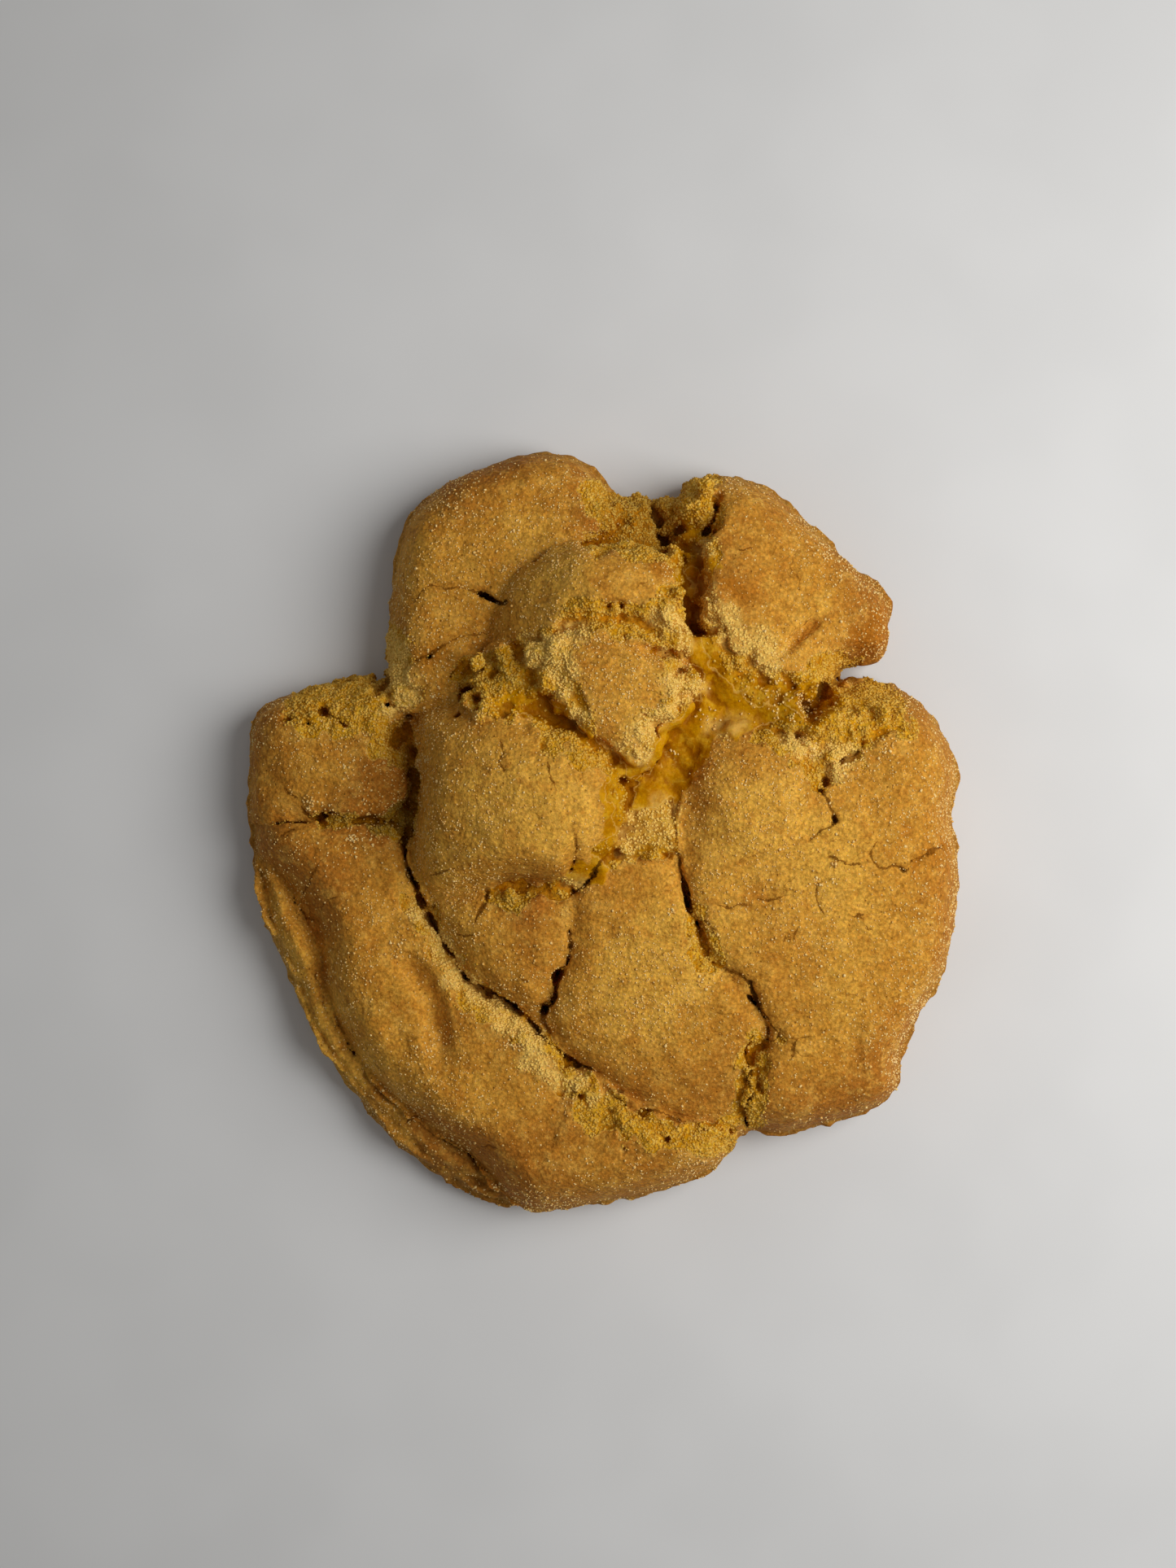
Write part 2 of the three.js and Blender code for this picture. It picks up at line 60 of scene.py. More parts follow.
RIM = [
    (-10.6, 53.6), (-4.4, 53), (-0.4, 49.8), (1.8, 47.4), (6.6, 47.6), (10.4, 48.2), (13, 50.4),
    (17.4, 50.4), (23.4, 48.4), (29.6, 42.8), (36.6, 36.6), (40, 32.8), (40.4, 27.6), (39, 24.9),
    (34.2, 23.9), (34, 21.9), (39, 21.2), (44.6, 18.6), (48.2, 13.6), (49.8, 8.2), (48.9, 2.8), (50, -4.2),
    (49.6, -12.2), (48, -19), (44.4, -25.4), (41.8, -31.2), (41.2, -35.8), (37.4, -39), (30.2, -41),
    (25, -42.2), (21, -41.8), (18.8, -43.6), (16.4, -46.6), (7.8, -50.6), (-0.8, -52.2), (-9.4, -53.4),
    (-16.8, -51.8), (-23.8, -48.2), (-30.4, -42.8), (-35.8, -36), (-40.6, -27.6), (-45, -18.8),
    (-48, -10.6), (-49.8, -1.8), (-49.9, 7.4), (-49.2, 16), (-45, 19.6), (-39.4, 21.2), (-33, 21.8),
    (-30.8, 23.4), (-30.4, 30.4), (-29.4, 37.2), (-27.2, 44.8), (-21, 50.2), (-15.2, 52.4),
]

# Plates. top: height at the centre; tilt: rise along x and y; dome: fall with the square of the distance;
# drop and width: how far (to the east, north, west and south) and over what width the edge falls; ragged: how
# torn the outline is; blend: how softly it joins what is there; foot: its underside, where it hangs free.
PLATES = [
    dict(name="north_west", centre=(-18, 35), top=14.2, tilt=(0.04, -0.05), dome=0.003, drop=(1, 1, 1, 1.5),
         width=2, ragged=0.12, blend=0, outline=[(-27.6, 43.8), (-24.4, 47.4), (-20.2, 49.8), (-15, 51.9),
         (-9.4, 53.2), (-4.4, 52.7), (-0.4, 49.7), (1.4, 47), (0.6, 43.6), (-1.6, 40.8), (-5.8, 38.8),
         (-9.8, 36.8), (-12.6, 34.2), (-14.6, 31.2), (-15.6, 28.4), (-16.8, 25.2), (-18.4, 21.4), (-20, 19),
         (-23.8, 17.6), (-27.2, 17.6), (-29.8, 20.4), (-30.4, 23.8), (-29.9, 29), (-29.5, 33.6),
         (-29, 38.2)]),
    dict(name="north_bed", centre=(5.5, 42), top=9.6, tilt=(-0.1, 0), dome=0, drop=(1, 1.5, 1, 1), width=2,
         ragged=0.5, blend=0.5, outline=[(-1.4, 47.4), (3.2, 47.4), (6, 47.6), (8, 47.6), (10.6, 47.4),
         (11.8, 43.8), (14.4, 41.6), (13.6, 37), (11.2, 34.8), (6.6, 34.8), (-0.2, 37), (-3, 39.2),
         (-2.4, 43.6)]),
    dict(name="north_crumb", centre=(13.6, 46.4), top=13.6, tilt=(-0.15, 0.05), dome=0.06,
         drop=(1.5, 1, 2, 1.5), width=1.5, ragged=0.45, blend=0.4, outline=[(10.6, 47.6), (11.8, 49.2),
         (13.6, 50.1), (16.2, 50), (17, 48.4), (16.8, 46.4), (16, 43.6), (15, 42.4), (13.2, 42.6),
         (11.6, 43.8), (10.2, 45.4)]),
    dict(name="north_east", centre=(25, 34), top=15.2, tilt=(-0.32, -0.16), dome=0.004, drop=(1, 1, 0.8, 3),
         width=2.2, ragged=0.3, blend=1, outline=[(17, 49.4), (20.2, 49.3), (23.8, 47.9), (27.6, 44.3),
         (31.6, 41), (35.6, 36.8), (39.8, 32.8), (39.7, 29.6), (39.5, 26.6), (37.6, 24.2), (34.8, 23),
         (31, 21.6), (26.8, 19.8), (22.2, 20.4), (17.8, 22.8), (15, 26.4), (13, 30), (13.4, 34), (13.8, 38),
         (15, 41.4), (16.4, 45.2)]),
    dict(name="interior", centre=(13, 16), top=17.4, tilt=(-0.08, 0.06), dome=-0.003,
         drop=(3, 0.5, 0.5, 0.5), width=2.5, ragged=0.4, blend=2, outline=[(10.4, 28.2), (14, 27.6),
         (17.8, 24), (22.2, 21.4), (28.6, 20.2), (28.9, 15.8), (26.8, 12.4), (20.6, 12.2), (15, 10),
         (12.5, 6), (11.4, 1), (10.4, -3), (3, -3.6), (-1.8, -2.6), (0, 5.2), (1, 9.6), (3.2, 12.2),
         (5.2, 15.6), (8, 17), (9.8, 20.4), (8, 24.8)]),
    dict(name="under_flap", centre=(-6, 16), top=20.8, tilt=(0, 0), dome=0, drop=(0.5, 0.5, 0.5, 0.5),
         width=2, ragged=0.4, blend=1.5, outline=[(-18.4, 19.6), (-12.4, 22.6), (-4, 22), (4, 18),
         (7.6, 15), (4.6, 8.4), (0, 8), (-6, 12), (-12, 15), (-17.6, 17)]),
    dict(name="middle_top", centre=(-1, 32), top=23.8, tilt=(0.12, -0.34), dome=0.036,
         drop=(0.8, 2.2, 1.5, 1), width=2.6, ragged=0.4, blend=0.5, outline=[(-14.6, 31.4), (-12.8, 34),
         (-9.8, 36.6), (-4.8, 39), (-1.4, 39.4), (2.4, 39), (6.2, 39.2), (8, 38.3), (9.4, 39.4),
         (10.8, 38.2), (10.1, 36.6), (10.4, 34.6), (9.5, 32.8), (9.8, 30.8), (10.5, 29.4), (9, 28),
         (10.8, 26.6), (7.8, 25), (4, 26), (0.2, 26.2), (-4.6, 25.4), (-9, 24.6), (-12.4, 24.8),
         (-15.2, 27.8)]),
    dict(name="flap_end", centre=(-12, 21.5), top=19.6, tilt=(0.3, 0), dome=0.02, drop=(1, 1.5, 2.5, 2),
         width=2, ragged=0.6, blend=0.4, outline=[(-18.6, 21.2), (-17.4, 23.2), (-15.2, 24.8),
         (-11.2, 25.2), (-8.2, 24.8), (-5.8, 22.4), (-5.4, 19.4), (-8.6, 18.2), (-12.4, 18.6),
         (-15.8, 19.2), (-18, 19.6)]),
    dict(name="flap_side", centre=(-6.5, 22), top=24.5, tilt=(0.1, 0.02), dome=0.02,
         drop=(0.5, 0.8, 2.5, 2), width=2, ragged=0.6, blend=1, outline=[(-9.8, 24.4), (-8, 26),
         (-4.6, 26.2), (-2.8, 23), (-2.8, 18.6), (-4.6, 17.6), (-7, 18.8), (-9, 20.8)]),
    dict(name="slope", centre=(20, 25), top=18, tilt=(-0.1, -0.05), dome=0, drop=(1, 0.5, 1, 1.5),
         width=2.5, ragged=0.6, blend=2, outline=[(12.6, 31), (14.6, 32), (20, 27), (27, 23.4), (28, 20.6),
         (22, 20.2), (17, 21.8), (13.6, 25)]),
    dict(name="west_dome", centre=(-11, 5.5), top=25.6, tilt=(0.12, 0), dome=0.022, drop=(2, 3, 8, 5),
         width=5, ragged=0.12, blend=1, outline=[(-25.6, 17), (-22.4, 17.8), (-17.2, 18), (-11.2, 17.4),
         (-6.8, 15.6), (-2.6, 13.4), (0.8, 10.6), (2.8, 7.4), (2.4, 3), (0.2, -1.4), (-3, -5), (-5.8, -6.4),
         (-11.4, -6), (-15.8, -7.2), (-20.4, -8.8), (-24.4, -9.2), (-26.4, -6.2), (-27, -2.2), (-26.4, 2.2),
         (-25.6, 6.8), (-26, 11.8)]),
    dict(name="flap", centre=(1.5, 19.2), top=25, tilt=(-0.12, 0.02), dome=0.02, drop=(3, 1.2, 1.2, 0.8),
         width=2.2, ragged=0.25, blend=0.8, foot=19.4, outline=[(-9.6, 24.6), (-5.8, 25.4), (-2.8, 25.8),
         (0.2, 26.2), (2.4, 25.4), (6, 24.4), (8, 24.2), (9.6, 22.6), (11.6, 21), (12.6, 19.4), (10, 17.6),
         (9.4, 15.8), (6.8, 14.6), (5.6, 12.2), (4.6, 10.4), (2.4, 11.6), (0.2, 13.2), (-2.8, 14.8),
         (-4.4, 17.2), (-6, 19), (-6.4, 21.2), (-8.2, 23)]),
    dict(name="south_west_inner", centre=(-13.5, -14), top=18, tilt=(0.12, 0.1), dome=0.012,
         drop=(0.8, 1, 3.2, 2.4), width=4.5, ragged=0.3, blend=1.4, outline=[(-15.8, -6.6), (-10.2, -5.4),
         (-4.8, -6.4), (-4.8, -11.4), (-5, -15.4), (-6.6, -20), (-8.2, -23.6), (-11.4, -23.4), (-16, -21.4),
         (-19.4, -18.6), (-22.2, -14), (-24.8, -9.8), (-20.4, -7.8)]),
    dict(name="south", centre=(6, -18), top=18.8, tilt=(0, 0.1), dome=0.008, drop=(0.8, 1.5, 0.8, 1.8),
         width=2.5, ragged=0.2, blend=0.6, outline=[(-4, -6.2), (-0.4, -3), (3.6, -1.4), (8, -1.4),
         (9.6, -3.6), (10.6, -7.6), (12.6, -12.6), (14, -17), (17.8, -21), (20.8, -25), (21.6, -27.8),
         (19.8, -31), (19.9, -36.8), (19.8, -42), (14.4, -40.4), (8.8, -38.6), (3, -35.6), (-2, -32.2),
         (-6, -27.8), (-7.4, -24), (-5.6, -20), (-4, -15.4)]),
    dict(name="east", centre=(29, -9), top=17.6, tilt=(-0.1, 0.06), dome=0.002, drop=(0.8, 2, 0.8, 1),
         width=2, ragged=0.2, blend=0.4, outline=[(10.4, 2.4), (11.8, 7.8), (15, 13), (20.6, 13.8),
         (26.8, 13.4), (28.8, 16), (33.8, 20.8), (37.6, 21.8), (41, 20.2), (45.6, 17), (48, 12.8),
         (49.6, 8), (48.7, 2.8), (49.8, -4), (49.3, -11.6), (47.3, -19.6), (44.2, -25.2), (41.5, -31),
         (40.9, -35.6), (37, -39), (30.6, -40.8), (25.6, -42), (20.6, -41.6), (20.1, -34.6), (20.4, -30.8),
         (23.5, -27.4), (21, -22.4), (17.6, -18.9), (14.1, -15), (12.3, -9.4), (11, -2.6)]),
    dict(name="east_bulge", centre=(19.8, 4.6), top=20.4, tilt=(0, 0.02), dome=0.012, drop=(3, 2, 3, 3),
         width=5, ragged=0.1, blend=3, outline=[(12, 4), (13.2, 9.8), (18.5, 12.8), (25, 11.5), (28, 6),
         (26, -1), (20, -3.5), (14, -1.5)]),
    dict(name="west", centre=(-37.5, 10.5), top=13, tilt=(0.04, -0.02), dome=0.003, drop=(1.5, 2.5, 1, 0.8),
         width=2.5, ragged=0.3, blend=0, outline=[(-48.9, 16.4), (-44.6, 19.2), (-38.8, 20.9),
         (-33.2, 21.4), (-29.8, 20.4), (-28.2, 17.8), (-29.2, 15.8), (-29, 11.8), (-27.6, 8), (-27.2, 4.6),
         (-27.4, 2), (-28.4, 0.2), (-30.6, 0.6), (-35.2, 1.4), (-40.4, 2), (-45.6, 1.8), (-49.7, 2.4),
         (-49.8, 7.4), (-49.4, 12.6)]),
]

# Lobes that run along the south-west rim, between an outer and an inner line. top: height at the start and at
# the end of the lines; drop and width: how far and over what width each side falls; low: the underside, 0 for
# the floor.
LOBES = [
    dict(name="lip_lower", top=(6.4, 5.6), outer_drop=1.8, outer_width=3, inner_drop=0, inner_width=1,
         low=0, blend=0.8, outer=[(-49.6, -2.6), (-49, -7.6), (-47.6, -13.8), (-45.4, -18.8),
         (-43.2, -25.4), (-39.4, -32.2), (-35.6, -37.2), (-31.6, -42.2), (-27.4, -46.2), (-23, -49),
         (-18.4, -51.4), (-13.6, -53)], inner=[(-46.4, -3), (-43, -10.4), (-40, -13.8), (-38.4, -18.4),
         (-37, -23), (-33.4, -29), (-29.6, -33), (-25.6, -37), (-21, -41), (-16.6, -43), (-13, -46),
         (-10.6, -49.4)]),
    dict(name="lip_upper", top=(9.6, 8.8), outer_drop=2.8, outer_width=3, inner_drop=2.6, inner_width=2.2,
         low=2, blend=0.9, outer=[(-48.6, -4), (-47.4, -10.5), (-45.4, -15), (-43.4, -19.6), (-41.5, -25.2),
         (-37.8, -31.4), (-33.9, -36.4), (-29.6, -41.1), (-25.2, -45.2), (-20.4, -48), (-15.4, -50.6)],
         inner=[(-46, -5), (-42.9, -10.4), (-40.6, -15.2), (-39.9, -20.6), (-38.1, -26.4), (-34.7, -32.2),
         (-30.1, -37.2), (-24.4, -41.9), (-19, -45.8), (-14, -49.6)]),
    dict(name="south_west", top=(13.4, 16), outer_drop=7.4, outer_width=6.5, inner_drop=1.5, inner_width=3,
         low=0, blend=0, outer=[(-49.7, 1.8), (-49, -3), (-45.4, -6.4), (-42.4, -10.2), (-40, -15),
         (-39.4, -20.4), (-37.6, -26), (-34.2, -31.8), (-29.6, -36.8), (-24, -41.4), (-18.4, -45.2),
         (-11.6, -52.2), (-3.6, -52.4), (5.4, -50.7), (14, -48), (17.8, -44.4)], inner=[(-28.2, 0),
         (-27.4, -4.2), (-25.6, -7.8), (-23.6, -11.8), (-21.4, -15.4), (-19.2, -19), (-16.2, -22.2),
         (-11.6, -24.8), (-8.6, -26.8), (-5.6, -30.2), (-2, -33.2), (1.8, -36), (5.8, -38.8), (10, -40.2),
         (14.6, -41.2), (17.4, -42.4)]),
]

# Cracks, as straight pieces: x, y and width at each point, then how much deeper than wide, and how ragged.
CRACKS = [
    # north-west plate
    ([(-13.2, 31.7, 1), (-14.2, 31.6, 1), (-15.4, 32.3, .9), (-16.6, 32.9, .7), (-18.3, 33.5, .35)], 8,
      .25),
    ([(-18.3, 33.5, .25), (-20, 34, .25), (-21.4, 33.6, .3), (-22.8, 34.1, .2), (-24, 34.3, .25),
      (-24.8, 33.6, .2), (-25.4, 32.8, .2), (-26.2, 31.8, .3)], 4, .25),
    ([(-15.6, 27.9, .2), (-18, 27.3, .3), (-19.8, 27.1, .35), (-20.8, 26.6, .3), (-22.2, 25.8, .4),
      (-23.2, 25.2, .5), (-24, 24.4, .6), (-25.8, 23.9, .4)], 3, .4),
    # west plate and its seam to the south-west lobe
    ([(-40, 17.3, .4), (-38.8, 17, .9), (-37.8, 16.4, .6), (-36.8, 16.3, .5), (-35.8, 15.1, .6)], 3.5, .5),
    ([(-44.8, 15.7, .25), (-42.2, 15.2, .3), (-39.8, 15.4, .3)], 3, .4),
    ([(-41.8, 4, .3), (-41.2, 3, .5), (-40.6, 2.4, .6), (-39.6, 2.2, .3)], 4, .5),
    ([(-38.9, 2.6, .3), (-38, 3.1, .6), (-37, 3.1, .6), (-36, 2.6, .4), (-35, 2.3, .45)], 4, .7),
    ([(-35, 2.3, .4), (-33.4, 2.2, .4), (-31.6, 2.7, .35)], 4, .6),
    ([(-42.4, .9, .25), (-43.6, .5, .25), (-44.6, -.4, .3), (-45.6, -1.3, .25)], 4, .3),
    ([(-44.2, 6.4, .2), (-43.2, 5.6, .3), (-42.2, 5.1, .25)], 4, .3),
    # south-west lobe
    ([(-42, -8.4, .4), (-41.2, -7.3, .45), (-40.4, -6.6, .4), (-40.1, -5.4, .3), (-39.4, -4.4, .25),
      (-38.6, -3.2, .2)], 4, .3),
    ([(-42.6, -10.6, .25), (-42, -11.6, .35), (-40.8, -12, .4), (-40.2, -11.8, .3)], 4, .3),
    ([(-39.9, -10.2, .3), (-39, -9.9, .3), (-38, -9, .25), (-36.4, -8.4, .2)], 4, .3),
    ([(-28.2, -1.4, .35), (-27.5, -3.2, .35), (-27, -4.8, .6), (-26.4, -6.2, 1.2), (-25.8, -7.6, 1.3),
      (-25.1, -9, 1.1), (-24.5, -10.1, .5)], 9, .6),
    ([(-24.5, -10.2, .35), (-23.6, -12, .3), (-23, -13.4, .35), (-22.2, -14.6, .35), (-20.6, -16.6, .35),
      (-20, -18.2, .3), (-18.6, -20.2, .25), (-17.2, -21, .3), (-16.4, -21.6, .6), (-15.6, -22, .7),
      (-15, -22, .3), (-14, -22.4, .6), (-13.2, -22.8, 1.2), (-12.6, -23.1, 1), (-12.1, -23.9, 1.1),
      (-11.5, -24.4, .9), (-11, -24.8, .35)], 8, .9),
    ([(-8.4, -33, .3), (-7.8, -33.6, .3)], 3, .3),
    ([(-4.8, -34.2, .25), (-4, -35, .4), (-3.2, -35.6, .6)], 3, .4),
    ([(-17, -43, .5), (-16, -42.6, .35), (-14.4, -42.8, .3)], 3, .4),
    ([(-27.8, -40.6, .6), (-26.4, -39.6, .4), (-25.2, -40, .3)], 3, .5),
    # dome and the plate south of it
    ([(-16, -7.2, .5), (-15.8, -8, .6), (-16.1, -9, .5), (-16.8, -10, .4), (-17.4, -11, .5),
      (-17.7, -12.2, .4)], 4, .5),
    ([(-17.6, -13.2, .3), (-18.4, -13.5, .5), (-19, -13.6, .35), (-20.2, -13.2, .25)], 4, .4),
    ([(-20, -4.2, .25), (-21.2, -4.6, .35), (-22.4, -5, .35), (-23.6, -5.4, .25)], 3, .4),
    ([(-11.2, -19.2, .3), (-10.4, -19.6, .3)], 3, .4),
    ([(-3.9, .6, .3), (-3.8, -1.6, .3), (-4, -3, .4), (-4.7, -4.8, .5)], 2.5, .3),
    ([(-7.5, 9.8, .4), (-7.3, 8, .5), (-6.5, 6.6, .3)], 1.5, .2),
    ([(-13.8, 12.8, .3), (-13.4, 11.4, .4), (-13.9, 9.8, .4), (-13.2, 8.6, .3)], 2, .5),
    # between the dome, the small plate and the south plate
    ([(-4.6, -8, .5), (-3.2, -7.1, .8), (-1.9, -5.7, .9), (-1, -4.2, .8), (-.4, -3, .5)], 1.2, .6),
    ([(-4.7, -12.4, .25), (-4.8, -13.6, .45), (-4.7, -15, .55), (-4.5, -16, .45), (-4.9, -17, .4),
      (-5.8, -18.2, .55), (-6.7, -19.4, 1.1), (-6.6, -20.4, .65), (-6.5, -21.4, .75), (-6.8, -22.4, 1.1),
      (-7.6, -23.6, 1.2), (-8.6, -24.4, .6)], 6, .8),
    ([(-9.9, -23.3, .3), (-8.7, -23.2, .55), (-7.8, -22.8, .4)], 5, .3),
    ([(-10.8, -25, .35), (-9.8, -26, .6), (-9.2, -27, 1.3), (-8, -27.9, 1), (-6.6, -29, .6),
      (-5.4, -30.2, .8), (-4.8, -31, 1.4), (-3.6, -31.6, 1.1), (-2.2, -31.9, .6), (-.6, -32.4, .25)], 5,
      .3),
    ([(1.8, -34.6, .25), (2.3, -36.4, .7), (3, -37.4, .45)], 4, .4),
    ([(3.2, -39, .4), (4.3, -38.2, .4), (5.4, -37.9, .4), (6.8, -37.6, .35), (8, -38.2, .45),
      (9.4, -38.8, .45), (10.6, -39.5, .3)], 5, .4),
    ([(12.6, -40, .25), (14.4, -40.6, .35), (14.9, -41.4, .3)], 4, .3),
    # south plate and east plate
    ([(9, 5, .25), (9.2, 3, .35), (9.5, 1, .45), (9.9, -1, .5), (10, -3, .4), (10.3, -4.6, .5),
      (10.7, -6.4, .65), (11, -8, .6), (11.3, -9.8, .7), (12, -11.2, .5), (12.8, -12.4, .55),
      (13, -13.8, .7), (13.3, -15.2, .45), (13.8, -16.2, .5), (14.7, -17.5, .35), (16.4, -18, .25),
      (17.6, -18.3, .35), (18.6, -19, .45), (19.6, -19.9, .7), (20.2, -21.4, .85), (20.8, -23, .85),
      (21.4, -24.2, .8), (22.4, -25.4, .5), (23.2, -26.4, .6), (23.8, -27.1, .4)], 7, .8),
    ([(24, -27.2, .25), (23.2, -27.8, .3), (22.2, -28.2, .25)], 4, .3),
    ([(12.2, -11.2, .35), (13.4, -11.4, .4), (14.4, -12.2, .45), (14.6, -13, .35)], 3, .5),
    ([(20.8, -26.4, .25), (19.8, -27.6, .5), (19.3, -29, .5), (19.4, -30.2, .7), (19.7, -31.4, 1.1),
      (20, -32.6, 1.2), (19.7, -33.6, .7), (20, -34.8, .4), (20.4, -35.3, .5), (19.6, -36.2, .35),
      (19.3, -37.6, .5), (19.6, -39, .45), (19.8, -41, .5)], 7, .4),
    ([(28.2, -27, .25), (26.2, -27.6, .3), (25.5, -28.5, .4), (25.7, -29.6, .5), (25, -30.6, .35)], 4, .4),
    ([(36.8, -.7, .25), (36, -1.6, .35), (35.6, -2.4, .5), (36.3, -3.6, .3), (37.2, -4.4, .35),
      (38.6, -4, .35), (39.3, -3.8, .5), (40, -4.2, .55), (40.6, -4.9, .7), (41.2, -4.4, .35)], 5, .35),
    ([(41.4, -3.5, .45), (42.4, -3.2, .4), (43.6, -2.6, .3), (45, -1.9, .4), (46.4, -1.5, .7)], 2.5, .5),
    ([(27.3, -.6, .3), (28.4, 0, .3), (29.2, 1, .35), (30.2, 1.2, .3), (31, 1.9, .8), (30.9, 3, .5),
      (30.3, 3.8, .45), (29.9, 5, .45), (29, 6, .6), (29.8, 6.9, .35)], 4, .45),
    ([(20.4, -8.4, .25), (22, -8.7, .35), (23, -8.4, .3), (24.2, -8, .25)], 3, .4),
    ([(15, -9.2, .25), (17, -9.6, .3), (18, -9, .35), (19.2, -9.3, .25)], 3, .4),
    ([(28.5, -6, .25), (28.4, -8, .3), (28.8, -9.5, .35), (29.4, -10.6, .25)], 3, .4),
    ([(25.8, -12.5, .3), (25.4, -13.9, .3)], 3, .3),
    ([(24.4, -13.4, .3), (24, -14.3, .3)], 3, .3),
    ([(33.4, -10.9, .3), (35, -10.5, .25)], 3, .3),
    ([(35.2, -12.2, .3), (36.2, -12.8, .3)], 3, .3),
    ([(30, -2.8, .25), (31, -3, .3), (33, -3.9, .25), (34.6, -3.8, .3)], 3, .4),
    # torn north edge of the east plate
    ([(35, 12.7, .3), (34.6, 11.6, .5), (33.8, 10.8, .4), (32.6, 10.5, .3), (31.6, 9.6, .25)], 3.5, .4),
    # north-east plate
    ([(18, 38.7, .3), (19, 38.7, .4), (19.9, 39.1, .45)], 3, .5),
]

# Holes: outline, height of the floor, and how much the walls lean in.
HOLES = [
    ([(-30.1, 19.3), (-29.4, 18.6), (-29.3, 17.8), (-29.7, 17.2), (-30.4, 17.4), (-30.5, 18.4)], 4, 0),
    ([(-34.2, 24.6), (-33.3, 20.8), (-32.4, 18.9), (-31.4, 18.4), (-30.3, 19.8), (-30.4, 24.6)], 6, .2),
    ([(-29.7, 14.8), (-28.6, 15.3), (-26.4, 15.1), (-25.7, 12.6), (-25.5, 9), (-25.3, 5), (-25.8, 2),
      (-26.8, -1), (-27.4, -3.4), (-28, -2), (-28.6, .4), (-28.2, 2.6), (-27.8, 4), (-27.2, 6.4),
      (-27.1, 8.6), (-28.2, 11), (-29.5, 11.5), (-29.9, 12.8)], 8.8, .14),
    ([(-35.6, 1.9), (-33.5, 2.7), (-30.4, 3.6), (-28, 5), (-26.4, 5.4), (-26.6, 2), (-27.4, -.9),
      (-29.6, .1), (-32, .9), (-34.4, 1.2)], 9.6, .45),
    ([(6.9, 42.8), (8.6, 43.2), (10.9, 43.6), (11.4, 42.3), (10.4, 41.4), (10.2, 40.2), (9.2, 39.8),
      (7.8, 39.8), (7.2, 40.6), (7.1, 41.6)], 4.4, .25),
    ([(10.3, 42), (12.2, 42.4), (14.4, 41.6), (15, 42.4), (15.6, 41.6), (14.6, 40.4), (13.8, 39.4),
      (14.4, 38), (13.9, 36.2), (14, 33.4), (13.4, 31), (13.5, 29.4), (14.6, 27.2), (12.4, 27),
      (10.6, 28.2), (9.9, 29.8), (10.3, 31.4), (10.6, 34), (10.6, 36.4), (10.7, 38.4), (10.2, 40)], 12.2,
      .12),
    ([(14.4, 47.2), (15.9, 47), (16.6, 45.4), (16.1, 43.8), (15.5, 42), (14.4, 41.2), (13.9, 41.9),
      (14.6, 43.4), (14, 45)], 9, .2),
    ([(26.4, 19.4), (28.6, 20.6), (30.6, 21.6), (33, 22.6), (36, 23.6), (36, 22.2), (34.6, 21),
      (33.4, 20.2), (32.3, 18.6), (31.8, 17.2), (30.2, 16.5), (28.2, 15.6), (26.9, 15.7), (25.8, 17.4)],
      8.6, .35),
    ([(31.6, 22.8), (33.2, 23.6), (35.8, 24), (36.6, 23), (34.6, 22), (33, 21)], 4, .2),
    ([(-18.5, 19.5), (-17.4, 19.4), (-16.2, 18.6), (-15.6, 17.9), (-17, 17.9), (-18.2, 18.6)], 12, .4),
    ([(20.4, -29.8), (21.3, -31), (21.7, -33), (21, -34.4), (20.2, -33.6), (19.9, -31.5)], 12, .3),
    ([(5.8, 48.8), (7.4, 48.8), (7.8, 46), (8.6, 43.6), (7.4, 42.8), (6.6, 44), (6.4, 46)], 5.4, .1),
    ([(-8, 27), (-6, 29), (-3, 30.2), (0, 30.8), (3, 31), (5.6, 30.6), (7.4, 29.4), (8, 27), (7.6, 25.6),
      (5, 26), (2, 26.8), (-1, 27), (-4, 26.4)], 20.3, .75),
]

